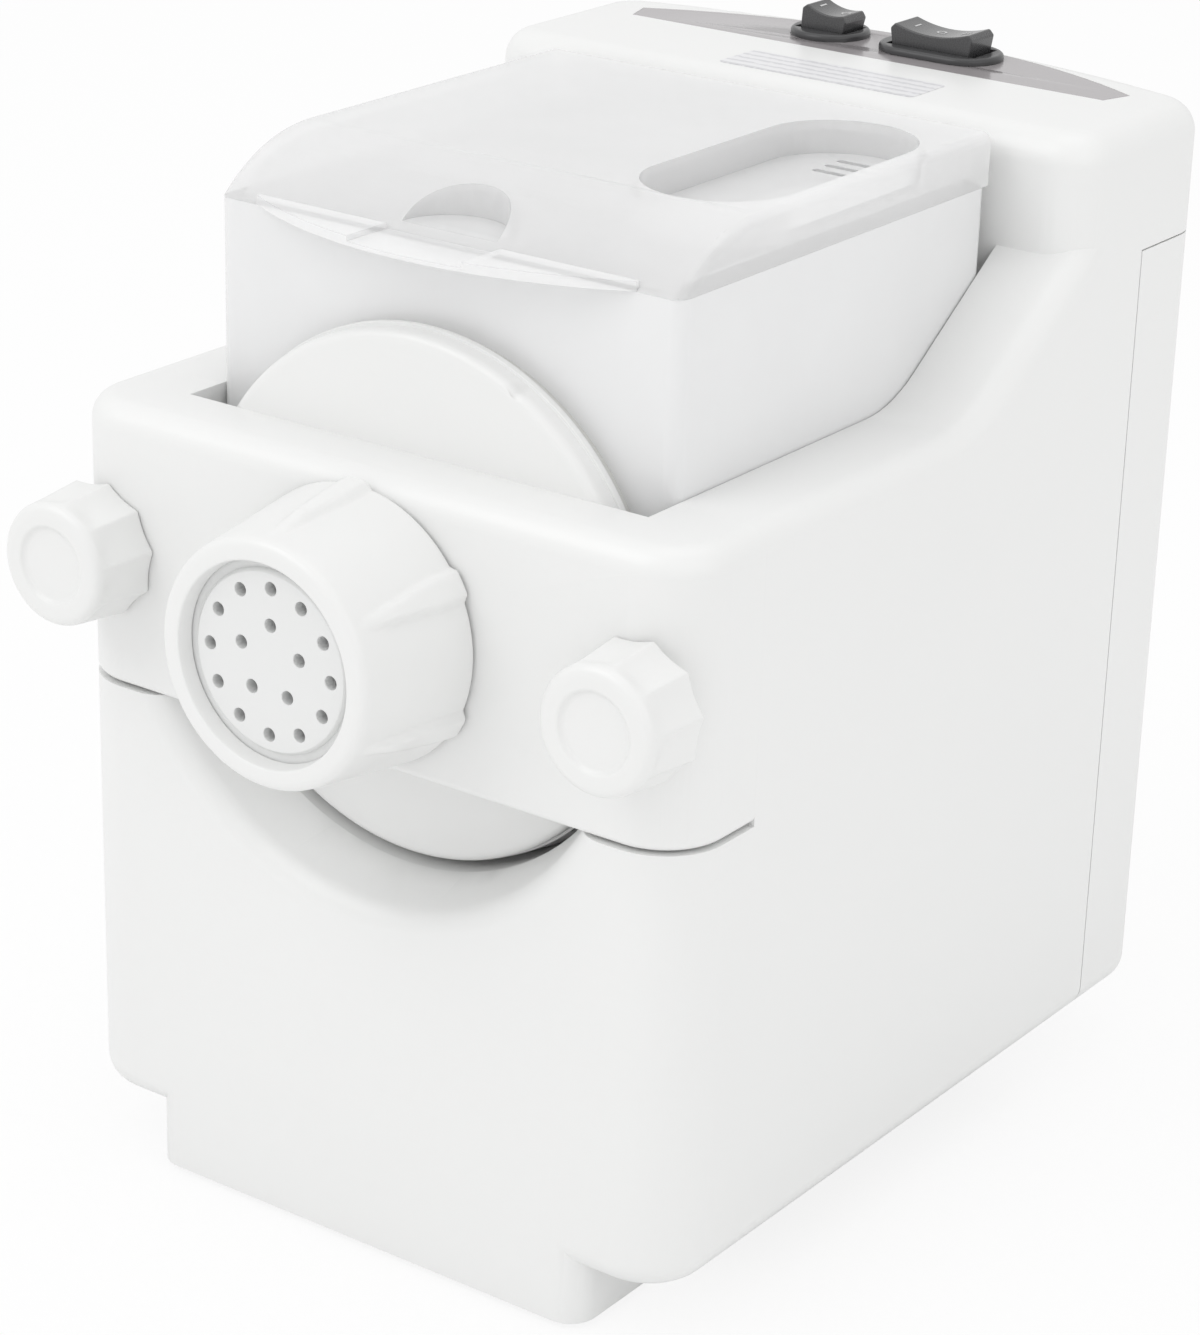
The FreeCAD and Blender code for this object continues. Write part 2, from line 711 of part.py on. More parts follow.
def make_rear_cover():
    body = new_body("rear_cover")
    inner = wallThickness
    floor = standHeight + footFlangeHeight
    plan = draw_outline(new_sketch(body, "CoverPlan", "XY_Plane", standHeight),
                        rear_plan(as_size(0), coverSeam, rearCorner))
    block = pad(body, "Block", plan, coverTop - standHeight)
    dress(body, "Fillet", "LowerEdge", block,
          lambda e: near(e.BoundBox.ZMin, standHeight) and near(e.BoundBox.ZMax, standHeight)
          and centre(e).y > coverSeam.value + 1, footRound)
    hollow = draw_outline(new_sketch(body, "HollowPlan", "XY_Plane", floor),
                          rear_plan(inner, coverSeam - 1, rearCorner - inner))
    pocket(body, "Hollow", hollow, coverTop, Reversed=True)
    opening = draw_outline(new_sketch(body, "FootOpening", "XY_Plane"), rectangle(
        -halfBody + footFlange, halfBody - footFlange, coverSeam - 1, trayRear - footFlange / 2))
    pocket(body, "OpenFoot", opening, floor + 1, Reversed=True)
    vents = new_sketch(body, "VentSlots", "XZ_Plane", -(rearReach + 1))
    for row in range(ventRows):
        height = ventLow + ventPitch * row
        draw_outline(vents, across_slot(0, height, ventLength, ventWidth))
    pocket(body, "Vents", vents, inner * 2 + 1, Reversed=True)
    bore(body, "GlandHole", glandAcross, glandHeight, glandRadius, rearReach - 30, rearReach + 1)


def across_slot(x, z, length, width):
    """A slot along the sketch's first axis, its ends in quarter turns."""
    r = width / 2
    left = x - length / 2 + r
    right = x + length / 2 - r
    return [(left, z - r), (right, z - r, r), (right + r, z, r), (right, z + r),
            (left, z + r, r), (left - r, z, r)]


def make_base_plate():
    body = new_body("base_plate")
    side = halfBody - footRound - trayInset
    plan = draw_outline(new_sketch(body, "TrayPlan", "XY_Plane", standHeight - basePlateThick),
                        rounded(-side, side, plinthDepth + faceGap, trayRear, plinthCorner))
    pad(body, "Tray", plan, basePlateThick)
    plinth = new_sketch(body, "PlinthPlan", "XY_Plane", padProud)
    half = plinthWidth / 2
    draw_outline(plinth, rounded(-half, half, trayRear - plinthDepth, trayRear - trayInset, plinthCorner))
    pad(body, "Plinth", plinth, standHeight - basePlateThick - padProud)
    seats = new_sketch(body, "PadSeats", "XY_Plane")
    for x in (-padSpread / 2, padSpread / 2):
        draw_circle(seats, x, trayRear - plinthDepth / 2, padRadius + padGap)
    pocket(body, "PadRecesses", seats, padThick, Reversed=True)
    heads = draw_screws(new_sketch(body, "ScrewRecesses", "XY_Plane", standHeight - basePlateThick),
                        screwHead + padGap)
    pocket(body, "HeadRecesses", heads, screwHeadDepth, Reversed=True)


def draw_screws(sketch, radius):
    """The six places where the tray is screwed up into the housing's foot flange."""
    across = halfBody - footFlange + screwHead / 2
    for x in (-across, across):
        for y in (plinthDepth + footFlange, (plinthDepth + trayRear) / 2, trayRear - plinthDepth):
            draw_circle(sketch, x, y, radius)
    return sketch


def make_feet():
    body = new_body("rubber_feet")
    body.AllowCompound = True
    discs = new_sketch(body, "PadPlan", "XY_Plane")
    for x in (-padSpread / 2, padSpread / 2):
        for y in (plinthDepth / 2, trayRear - plinthDepth / 2):
            draw_circle(discs, x, y, padRadius)
    discs_pad = pad(body, "Pads", discs, padThick)
    dress(body, "Chamfer", "PadEdges", discs_pad,
          lambda e: near(e.BoundBox.ZMin, 0) and near(e.BoundBox.ZMax, 0), padProud / 3)


def make_bracket():
    body = new_body("front_bracket")
    height = bracketTop - bracketBottom
    inner = wallThickness
    plan = draw_outline(new_sketch(body, "BracketPlan", "XY_Plane", bracketBottom), [
        (-halfBody + frontCorner, 0), (halfBody - frontCorner, 0, frontCorner),
        (halfBody, frontCorner), (halfBody, bracketDepth), (bayHalf, bracketDepth),
        (bayHalf, bracketMiddle), (-bayHalf, bracketMiddle), (-bayHalf, bracketDepth),
        (-halfBody, bracketDepth), (-halfBody, frontCorner, frontCorner)])
    block = pad(body, "Block", plan, height)
    crown = dress(body, "Fillet", "TopEdge", block,
                  lambda e: near(e.BoundBox.ZMin, bracketTop) and outer_edge(e), bracketRound)
    dress(body, "Fillet", "LowerEdge", crown,
          lambda e: near(e.BoundBox.ZMax, bracketBottom) and outer_edge(e), bracketRound / 3)
    hollows = new_sketch(body, "CornerHollows", "XZ_Plane", -bracketDepth)
    for side in (-1, 1):
        middle = studSpread / 2 * side
        half = (halfBody - inner - bayHalf - inner) / 2
        draw_outline(hollows, rectangle(middle - half + 0.5, middle + half - 0.5,
                                        bracketBottom + inner * 2, bracketTop - inner * 3))
        draw_circle(hollows, middle, axisHeight, studRadius * 2)
    pocket(body, "Corners", hollows, bracketDepth - frontCorner / 2, Reversed=True)
    middles = new_sketch(body, "MiddleHollows", "XZ_Plane", -bracketMiddle)
    for side in (-1, 1):
        centreX = (barrelRadius + inner * 2 + bayHalf) / 2 * side
        half = (bayHalf - barrelRadius - inner * 4) / 2
        draw_outline(middles, rectangle(centreX - half, centreX + half,
                                        bracketBottom + inner * 2, bracketTop - inner * 3))
    pocket(body, "Middles", middles, bracketMiddle - inner * 2, Reversed=True)
    bore(body, "BarrelHole", 0, axisHeight, barrelRadius + faceGap, -1, bracketMiddle + 1)
    holes = new_sketch(body, "StudHoleSection", "XZ_Plane", -(bracketDepth + 1))
    for side in (-1, 1):
        draw_circle(holes, studSpread / 2 * side, axisHeight, studRadius + faceGap)
    pocket(body, "StudHoles", holes, bracketDepth + 2, Reversed=True)


def outer_edge(edge):
    """True for the bracket's front and side edges, and not for its cut-out."""
    middle = centre(edge)
    return middle.y < 0.1 or abs(middle.x) > bayHalf.value + 8 and middle.y < bracketDepth.value - 0.5


def make_studs():
    body = new_body("bracket_studs", 0, axisHeight)
    body.AllowCompound = True
    seat = bracketDepth + wallThickness
    stud = rod(body, "Stud", studSpread / 2, 0, studRadius, -studReach, seat)
    flange = rod(body, "Flange", studSpread / 2, 0, studFlange, seat, seat + wallThickness)
    dress(body, "Chamfer", "StudTip", flange, lambda e: near(centre(e).y, -studReach), studRadius / 4)
    mirrored(body, "Pair", [stud, flange])


def make_knob(label, side):
    """A fluted thumb nut with a dished face, blind on its stud."""
    body = new_body(label, studSpread / 2 * side, axisHeight)
    depth = studReach + 1
    shape = draw_outline(new_sketch(body, "KnobProfile", "YZ_Plane"), [
        (-faceGap, studRadius + runningGap), (-faceGap, knobRadius),
        (-knobLength + knobEdge, knobFront, knobEdge), (-knobLength, knobFront - knobEdge),
        (-knobLength, knobDish), (-knobLength + knobDishDepth, knobDish - knobDishDepth),
        (-knobLength + knobDishDepth, 0), (-depth, 0), (-depth, studRadius + runningGap)])
    turn(body, "Revolution", "Turned", shape)
    flute = draw_circle(new_sketch(body, "FluteSection", "XZ_Plane", faceGap),
                        0, knobRadius + fluteRadius - fluteDepth, fluteRadius)
    cut = pocket(body, "Flute", flute, knobLength, Reversed=True)
    polar(body, "Flutes", [cut], knobFlutes)


def make_front_plate():
    body = new_body("front_plate", 0, axisHeight)
    disc = rod(body, "Disc", 0, 0, plateRadius, bracketMiddle, bracketMiddle + plateDepth)
    dress(body, "Fillet", "DiscEdge", disc,
          lambda e: near(e.BoundBox.YMin, bracketMiddle) and near(e.BoundBox.YMax, bracketMiddle), plateRound)
    rod(body, "Spigot", 0, 0, bowlMouth - bayGap, bracketMiddle + plateDepth, bowlFront + bowlWall)
    rod(body, "Barrel", 0, 0, barrelRadius, -barrelReach, bracketMiddle)
    funnel = draw_outline(new_sketch(body, "FunnelProfile", "YZ_Plane"), [
        (-barrelReach - 1, 0), (bowlFront + bowlWall + 1, 0),
        (bowlFront + bowlWall + 1, bowlMouth - wallThickness * 2),
        (bracketMiddle + wallThickness, barrelBore + funnelStep),
        (bracketMiddle - wallThickness, barrelBore), (-barrelReach - 1, barrelBore)])
    turn(body, "Groove", "Funnel", funnel)


def make_plate_seal():
    body = new_body("front_plate_seal", 0, axisHeight)
    rod(body, "Ring", 0, 0, plateRadius - 2, bracketMiddle + plateDepth, bowlFront)
    bore(body, "Inside", 0, 0, bowlMouth + 1, 0, bowlFront + 1)


def make_die_nut():
    body = new_body("die_nut", 0, axisHeight)
    inside = barrelRadius + runningGap
    lip = barrelReach + dieFlangeDepth + faceGap
    shape = draw_outline(new_sketch(body, "NutProfile", "YZ_Plane"), [
        (-nutGap, inside), (-nutGap, nutRear), (-nutReach + nutEdge, nutFront, nutEdge),
        (-nutReach, nutFront - nutEdge), (-nutReach, nutMouth), (-lip, nutMouth - nutEdge / 5),
        (-lip, inside)])
    turn(body, "Revolution", "Turned", shape)
    slopeEnd = nutReach - nutEdge
    set_in = nutEdge / 3
    rib = draw_outline(new_sketch(body, "RibProfile", "YZ_Plane"), [
        (-nutGap, inside + set_in), (-nutGap, nutRear + nutRib), (-slopeEnd + set_in, nutFront + nutRib),
        (-nutReach + set_in, nutFront - nutEdge + set_in / 2), (-nutReach + nutEdge, inside)])
    raised = pad(body, "Rib", rib, nutRibWidth, Midplane=True)
    polar(body, "Ribs", [raised], nutRibs)


def make_die():
    body = new_body("die", 0, axisHeight)
    back = barrelReach
    front = barrelReach + dieFlangeDepth
    rod(body, "Flange", 0, 0, dieFlange, -front, -back)
    face = rod(body, "Face", 0, 0, dieFace, -front - dieRaise, -front)
    dress(body, "Chamfer", "FaceEdge", face,
          lambda e: near(e.BoundBox.YMin, -front - dieRaise) and near(e.BoundBox.YMax, -front - dieRaise),
          dieRaise / 2)
    outer = bore(body, "OuterHole", dieOuterRing * cosine(dieOuterTurn), dieOuterRing * sine(dieOuterTurn),
                 dieHole, -front - dieRaise - 1, -back + 1)
    polar(body, "OuterHoles", [outer], dieOuterHoles)
    inner = bore(body, "InnerHole", dieInnerRing * cosine(dieInnerTurn), dieInnerRing * sine(dieInnerTurn),
                 dieHole, -front - dieRaise - 1, -back + 1)
    polar(body, "InnerHoles", [inner], dieInnerHoles)


def make_bowl():
    body = new_body("mixing_bowl")
    shell = draw_outline(new_sketch(body, "BowlSection", "XZ_Plane", -bowlRear),
                         bay_outline(halfBowl, bowlTop, halfBowl))
    block = pad(body, "Block", shell, bowlRear - bowlFront)
    dress(body, "Fillet", "BowlEdges", block,
          lambda e: (near(e.BoundBox.YMax, bowlFront) or near(e.BoundBox.YMin, bowlRear))
          and e.BoundBox.ZMin < bowlTop.value - 1, bowlCorner)
    inside = draw_outline(new_sketch(body, "HollowSection", "XZ_Plane", -(bowlRear - bowlWall)),
                          bay_outline(halfBowl - bowlWall, bowlTop + 1, halfBowl - bowlWall))
    pocket(body, "Hollow", inside, bowlRear - bowlFront - bowlWall * 2, Reversed=True)
    bore(body, "Mouth", 0, axisHeight, bowlMouth, bowlFront - 1, bowlFront + bowlWall + 1)
    bore(body, "ShaftHole", 0, axisHeight, bushRadius, bowlRear - bowlWall - 1, bowlRear + 1)


def lid_profile(inset, floor):
    """Side view of the lid, moved in by an inset, from a floor height up."""
    radius = lidFrontRadius - inset
    hubY = bowlFront + root_of(lidFrontRadius * lidFrontRadius
                               - (lidFrontRadius - lidHeight) * (lidFrontRadius - lidHeight))
    hubZ = lidTop - lidFrontRadius
    rise = as_size(floor) - hubZ
    startY = hubY - root_of(radius * radius - rise * rise)
    return [(startY, floor, -radius), (hubY, lidTop - inset), (bowlRear - inset, lidTop - inset),
            (bowlRear - inset, floor)]


def make_lid():
    body = new_body("bowl_lid")
    block = pad(body, "Block", draw_outline(new_sketch(body, "LidProfile", "YZ_Plane"),
                                            lid_profile(as_size(0), bowlTop)), bowlWidth, Midplane=True)
    dress(body, "Fillet", "SideEdges", block,
          lambda e: near(abs(centre(e).x), halfBowl) and e.BoundBox.ZMax > bowlTop.value + 1
          and not along(e, "z"), lidRound)
    inside = draw_outline(new_sketch(body, "InsideProfile", "YZ_Plane"), lid_profile(lidWall, bowlTop))
    pocket(body, "Inside", inside, bowlWidth - lidWall * 2, Midplane=True)

    ring = new_sketch(body, "RingPlan", "XY_Plane", bowlTop - lidRingDepth)
    outside = halfBowl - bowlWall - lidFit
    within = outside - lidRingWall
    front = bowlFront + bowlWall + lidFit
    back = bowlRear - bowlWall - lidFit
    draw_outline(ring, rectangle(-outside, outside, front, back))
    draw_outline(ring, rectangle(-within, within, front + lidRingWall, back - lidRingWall))
    pad(body, "Ring", ring, lidRingDepth + lipThickness)

    lip = draw_outline(new_sketch(body, "LipPlan", "XY_Plane", bowlTop), [
        (-lipHalf, bowlFront + 1), (-lipHalf, bowlFront, lipRadius), (lipHalf, bowlFront),
        (lipHalf, bowlFront + 1)])
    pad(body, "Lip", lip, lipThickness)

    floor = bowlTop + lipThickness + scoopFloor
    under = floor - scoopBase
    boss = draw_circle(new_sketch(body, "ScoopBoss", "XY_Plane", under),
                       0, bowlFront + scoopBack, scoopRadius + scoopWall)
    pad(body, "ScoopBlock", boss, lidTop - floor)
    start, top = lid_profile(as_size(0), under)[:2]
    ahead = bowlFront - scoopRadius * 2
    above = lidTop + lidHeight
    trim = draw_outline(new_sketch(body, "FrontTrim", "YZ_Plane"), [
        (ahead, under), start, top, (top[0], above), (ahead, above)])
    pocket(body, "TrimFront", trim, (scoopRadius + scoopWall) * 2 + 1, Midplane=True)
    scoop = draw_circle(new_sketch(body, "ScoopPlan", "XY_Plane", lidTop + 1),
                        0, bowlFront + scoopBack, scoopRadius)
    pocket(body, "Scoop", scoop, lidTop + 1 - floor)

    base = lidTop - troughDepth
    block = draw_outline(new_sketch(body, "TroughBlock", "XY_Plane", base - troughWall),
                         obround(troughAcross, troughAlong, troughWidth + troughWall * 2,
                                 troughLength + troughWall * 2))
    pad(body, "TroughWalls", block, troughDepth + troughWall - 1)
    trough = draw_outline(new_sketch(body, "TroughPlan", "XY_Plane", lidTop + 1),
                          obround(troughAcross, troughAlong, troughWidth, troughLength))
    pocket(body, "Trough", trough, troughDepth + 1)
    drains = new_sketch(body, "DrainPlan", "XY_Plane", lidTop)
    for index in range(drainSlots):
        y = troughAlong + troughLength / 2 - drainInset - drainPitch * index
        draw_outline(drains, across_slot(troughAcross, y, drainLength, drainWidth))
    pocket(body, "Drains", drains, troughDepth + troughWall + 1)

    tab = draw_outline(new_sketch(body, "TabSection", "XZ_Plane", -(bowlRear + tabLength)), rectangle(
        -tabAcross - tabWidth / 2, -tabAcross + tabWidth / 2,
        tabAxis - tabHeight / 2, tabAxis + tabHeight / 2))
    pad(body, "Tab", tab, tabLength + 1)


def make_paddle():
    """The mixing arms and the extruding screw on one hub, driven from a socket at the rear."""
    body = new_body("mixing_paddle", 0, axisHeight)
    rear = bowlRear - bowlWall - paddleGap
    rod(body, "Hub", 0, 0, paddleHub, -barrelReach + paddleGap, rear)
    rod(body, "Boss", 0, 0, driveRadius + paddleBossWall, rear - socketDepth - paddleGap, rear)
    lean = sine(paddleLean)
    across = cosine(paddleLean)
    for index, role in enumerate(("XY_Plane", "YZ_Plane", "XY_Plane")):
        middle = bowlFront + paddleStart + paddleSpacing * index
        half = paddleWidth / 2
        thick = paddleThick / 2
        corners = [(half * lean + thick * across, half * across - thick * lean),
                   (-half * lean + thick * across, -half * across - thick * lean),
                   (-half * lean - thick * across, -half * across + thick * lean),
                   (half * lean - thick * across, half * across + thick * lean)]
        if role == "XY_Plane":
            outline = [(x, y + middle) for x, y in corners]
        else:
            outline = [(y + middle, x) for x, y in corners]
        arm = draw_outline(new_sketch(body, f"ArmSection{index}", role, -paddleReach), outline)
        pad(body, f"Arm{index}", arm, paddleReach * 2)
    begin = paddleGap * 2 - barrelReach
    flight = draw_outline(new_sketch(body, "FlightSection", "YZ_Plane"), [
        (begin, paddleHub - 1), (begin + screwFlight, paddleHub - 1),
        (begin + screwFlight * 0.75, screwRadius), (begin + screwFlight * 0.25, screwRadius)])
    screw = body.newObject("PartDesign::AdditiveHelix", "Screw")
    screw.Profile = flight
    screw.ReferenceAxis = (origin_plane(body, "Y_Axis"), [""])
    screw.Mode = 0
    screw.setExpression("Pitch", screwPitch.text)
    screw.Pitch = screwPitch.value
    screwLength = barrelReach + bowlFront - paddleGap * 4
    screw.Height = screwLength.value
    screw.setExpression("Height", screwLength.text)
    socket = draw_outline(new_sketch(body, "SocketSection", "XZ_Plane", -(rear + 1)),
                          flatted(driveRadius + runningGap * 2, driveFlat))
    pocket(body, "Socket", socket, socketDepth + 1, Reversed=True)


def flatted(radius, flat):
    """A round section with one flat on top, drawn anticlockwise from the flat's left end."""
    level = radius - flat
    half = root_of(radius * radius - level * level)
    return [(half, level), (-half, level, radius), (-radius, 0, radius), (0, -radius, radius),
            (radius, 0, radius)]


def make_drive_shaft():
    body = new_body("drive_shaft", 0, axisHeight)
    front = bowlRear - bowlWall - socketDepth
    rod(body, "Shaft", 0, 0, driveRadius, front, gearPlateRear + gearPlateThick + shaftNose)
    flat = draw_outline(new_sketch(body, "FlatSection", "XZ_Plane", -(bowlRear - bowlWall - paddleGap)),
                        rectangle(-driveRadius, driveRadius, driveRadius - driveFlat, driveRadius + 1))
    pocket(body, "Flat", flat, socketDepth + 1, Reversed=True)


def tooth_flank(module, teeth):
    """The root radius, and (radius, half angle) points up one involute flank."""
    pressure = math.radians(20)
    pitch = module * teeth / 2
    base = pitch * math.cos(pressure)
    root = pitch - module * 1.2
    half_tooth = math.pi / teeth / 2 - gearBacklash.value / 2 / pitch
    start = max(base, root)
    flank = []
    for step in range(flankSteps + 1):
        radius = start + (pitch + module - start) * step / flankSteps
        angle = math.acos(base / radius)
        turned = half_tooth + math.tan(pressure) - pressure - (math.tan(angle) - angle)
        flank.append((radius, turned))
    return root, flank


def ring_point(radius, angle):
    return Vector(radius * math.cos(angle), 0, radius * math.sin(angle))


def gear_shape(module, teeth, face, bore_radius, phase):
    """A spur gear along Y from the origin, with a tooth centred at the phase angle."""
    root, flank = tooth_flank(module, teeth)
    corners = []
    for tooth in range(teeth):
        middle = math.radians(phase) + 2 * math.pi * tooth / teeth
        if root < flank[0][0]:
            corners.append(ring_point(root, middle - flank[0][1]))
        corners += [ring_point(radius, middle - turned) for radius, turned in flank]
        corners += [ring_point(radius, middle + turned) for radius, turned in reversed(flank)]
        if root < flank[0][0]:
            corners.append(ring_point(root, middle + flank[0][1]))
    outline = Part.makePolygon(corners + corners[:1])
    return Part.Face(outline).extrude(Vector(0, face, 0)).cut(drum(bore_radius, -1, face + 1))


def drum(radius, start, end, x=0.0, z=0.0):
    return Part.makeCylinder(radius, end - start, Vector(x, start, z), Vector(0, 1, 0))


def place_shape(label, shape, y, z):
    """A gear worked out from the sheet's tooth counts, standing at y and z on the middle plane."""
    item = doc.addObject("Part::Feature", label)
    item.Label = label
    item.Shape = shape
    item.setExpression("Placement.Base.y", (y + setBack).text)
    item.setExpression("Placement.Base.z", z.text)


def make_gears():
    """Motor pinion, two-step idler and output gear, each pair meeting on the line between centres."""
    fineStart = gearPlateFront + gearPlateThick + gearSpace
    coarseStart = fineStart + fineFace + gearSpace
    up, down = 90.0, 270.0
    count = int(outputTeeth.value)
    rim = coarseModule.value * count / 2 - webRim.value
    hub = driveRadius.value + webHub.value
    web = coarseFace.value / 3
    output = gear_shape(coarseModule.value, count, coarseFace.value, driveRadius.value, down)
    cuts = [drum(rim, -1, web).cut(drum(hub, -2, web + 1)),
            drum(rim, coarseFace.value - web, coarseFace.value + 1).cut(
                drum(hub, coarseFace.value - web - 1, coarseFace.value + 2))]
    for index in range(webHoles):
        angle = 2 * math.pi * index / webHoles
        middle = (rim + hub) / 2
        cuts.append(drum((rim - hub) / 2 - 3, -1, coarseFace.value + 1,
                         middle * math.cos(angle), middle * math.sin(angle)))
    place_shape("output_gear", output.cut(cuts), coarseStart, axisHeight)

    pin = idlerPin.value + runningGap.value
    small = int(idlerPinionTeeth.value)
    wheel = gear_shape(fineModule.value, int(idlerTeeth.value), fineFace.value, pin, down)
    pinion = gear_shape(coarseModule.value, small, coarseFace.value + 1, pin, up + 180.0 / small)
    pinion.translate(Vector(0, (coarseStart - fineStart).value - 1, 0))
    collar = drum(pin + 3, fineFace.value / 2, fineFace.value + gearSpace.value)
    idler = wheel.fuse([collar, pinion]).cut(drum(pin, -1, coarseFace.value * 2))
    place_shape("idler_gear", idler, fineStart, idlerAxis)

    few = int(motorTeeth.value)
    motor = gear_shape(fineModule.value, few, fineFace.value, motorShaft.value, up + 180.0 / few)
    place_shape("motor_pinion", motor, fineStart, motorAxis)


def make_gear_frame():
    low = postLow - gearPlateEdge
    high = postHigh + gearPlateEdge
    half = gearPlateWidth / 2
    for label, start in (("gear_plate_front", gearPlateFront), ("gear_plate_rear", gearPlateRear)):
        body = new_body(label)
        back = start + gearPlateThick
        plan = draw_outline(new_sketch(body, "PlateOutline", "XZ_Plane", -back),
                            rounded(-half, half, low, high, plinthCorner))
        pad(body, "Plate", plan, gearPlateThick)
        bore(body, "ShaftHole", 0, axisHeight, driveRadius + runningGap, start - 1, back + 1)
        bore(body, "PinHole", 0, idlerAxis, idlerPin, start - 1, back + 1)
        bore(body, "MotorHole", 0, motorAxis, bushRadius, start - 1, back + 1)
    body = new_body("gear_frame_posts")
    body.AllowCompound = True
    posts = new_sketch(body, "PostSections", "XZ_Plane", -gearPlateRear)
    for x in (-postSpread / 2, postSpread / 2):
        for z in (postLow, postHigh):
            draw_circle(posts, x, z, postRadius)
    pad(body, "Posts", posts, gearPlateRear - gearPlateFront - gearPlateThick)
    body = new_body("gear_frame_screws")
    body.AllowCompound = True
    heads = new_sketch(body, "ScrewHeads", "XZ_Plane", -(gearPlateRear + gearPlateThick + screwHead))
    for x in (-postSpread / 2, postSpread / 2):
        for z in (postLow, postHigh):
            draw_circle(heads, x, z, postRadius)
    pad(body, "Heads", heads, screwHead)
    body = new_body("idler_pin", 0, idlerAxis)
    rod(body, "Pin", 0, 0, idlerPin, gearPlateFront, gearPlateRear + gearPlateThick)
    body = new_body("output_bush", 0, axisHeight)
    rod(body, "Bush", 0, 0, bushRadius, bowlRear + sealProud, gearPlateFront)
    bore(body, "Inside", 0, 0, driveRadius + runningGap, bowlRear, gearPlateFront + 1)
    body = new_body("shaft_seal", 0, axisHeight)
    rod(body, "Seal", 0, 0, bushRadius, bowlRear - bowlWall, bowlRear + sealProud - padGap)
    bore(body, "Inside", 0, 0, driveRadius + faceGap, bowlRear - bowlWall - 1, bowlRear + sealProud)


def make_motor():
    front = motorRear - motorLength
    body = new_body("motor_casing", 0, motorAxis)
    rod(body, "Casing", 0, 0, motorRadius, front, motorRear)
    bore(body, "Inside", 0, 0, rotorRadius + 1, front + motorEnd, motorRear - motorEnd)
    bore(body, "ShaftHole", 0, 0, motorShaft + runningGap, front - 1, motorRear + 1)

    fanBack = front - fanSpace
    fanFront = fanBack - fanLength
    pinionEnd = gearPlateFront + gearPlateThick + gearSpace + fineFace
    body = new_body("motor_rotor", 0, motorAxis)
    rod(body, "Shaft", 0, 0, motorShaft, fanFront - 2, pinionEnd + 2)
    rod(body, "Core", 0, 0, rotorRadius, front + motorEnd + rotorSpace, motorRear - motorEnd - rotorSpace)

    body = new_body("motor_fan", 0, motorAxis)
    rod(body, "Disc", 0, 0, fanRadius, fanBack - fanBlade, fanBack)
    rod(body, "Collar", 0, 0, motorShaft * 2, fanFront, fanBack)
    blade = draw_outline(new_sketch(body, "BladeSection", "XZ_Plane", fanBlade / 2 - fanBack),
                         rectangle(-fanBlade / 2, fanBlade / 2, motorShaft * 1.5, fanRadius))
    blade_pad = pad(body, "Blade", blade, fanLength - fanBlade / 2)
    polar(body, "Blades", [blade_pad], fanBlades)
    bore(body, "ShaftHole", 0, 0, motorShaft, fanFront - 1, front)

    body = new_body("motor_mount", 0, motorAxis)
    rod(body, "Ring", 0, 0, motorRadius - 2, motorRear, towerFront - wallThickness)
    bore(body, "Inside", 0, 0, bushRadius, motorRear - 1, towerFront)

    body = new_body("motor_cradle")
    for index, back in enumerate((front + saddleLength * 2, motorRear - saddleLength)):
        block = draw_outline(new_sketch(body, f"SaddleSection{index}", "XZ_Plane", -back),
                             rectangle(-saddleHalf, saddleHalf, standHeight, motorAxis - motorRadius / 2))
        pad(body, f"Saddle{index}", block, saddleLength)
    rail = draw_outline(new_sketch(body, "RailSection", "XZ_Plane", saddleLength - motorRear),
                        rectangle(-saddleHalf / 3, saddleHalf / 3, standHeight, standHeight + wallThickness))
    pad(body, "Rail", rail, motorLength - saddleLength * 2)
    bore(body, "Rest", 0, motorAxis, motorRadius + faceGap, front, motorRear)


def make_electrics():
    body = new_body("run_capacitor", -canAcross, standHeight + canRadius)
    rod(body, "Can", 0, 0, canRadius, canFront, canFront + canLength)

    body = new_body("interlock_switch")
    front = towerFront + interlockSpace
    half = interlockWidth / 2
    box = draw_outline(new_sketch(body, "SwitchSection", "XY_Plane", towerTop - wallThickness), rectangle(
        -tabAcross - half, -tabAcross + half, front, front + interlockLength))
    pad(body, "Case", box, interlockHeight, Reversed=True)
    press = buttonSize / 2
    button = draw_outline(new_sketch(body, "ButtonSection", "XZ_Plane", -front), rectangle(
        -tabAcross - press, -tabAcross + press, tabAxis - press, tabAxis + press))
    pad(body, "Button", button, press)

    body = new_body("cord_gland", glandAcross, glandHeight)
    hub = rearReach - rearBow
    wall = hub + root_of(rearBow * rearBow - glandAcross * glandAcross)
    rod(body, "Sleeve", 0, 0, glandRadius, wall - glandInside, wall + glandProud)
    rod(body, "InnerFlange", 0, 0, glandRadius + glandLip, wall - glandInside - 2,
        wall - glandInside + glandLip)
    bore(body, "CordHole", 0, 0, glandRadius - glandLip, wall - glandInside * 2, wall + glandProud + 1)


def make_base_screws():
    body = new_body("base_screws")
    body.AllowCompound = True
    heads = draw_screws(new_sketch(body, "ScrewHeads", "XY_Plane", standHeight - basePlateThick), screwHead)
    pad(body, "Heads", heads, screwHeadDepth)


def make_panel():
    body = new_body("control_panel")
    lens = draw_outline(new_sketch(body, "PanelOutline", "XY_Plane", towerTop), lens_outline())
    pad(body, "Plate", lens, panelThick, Reversed=True)
    pocket(body, "SwitchHoles", switch_cuts(body), panelThick * 2, Midplane=True)


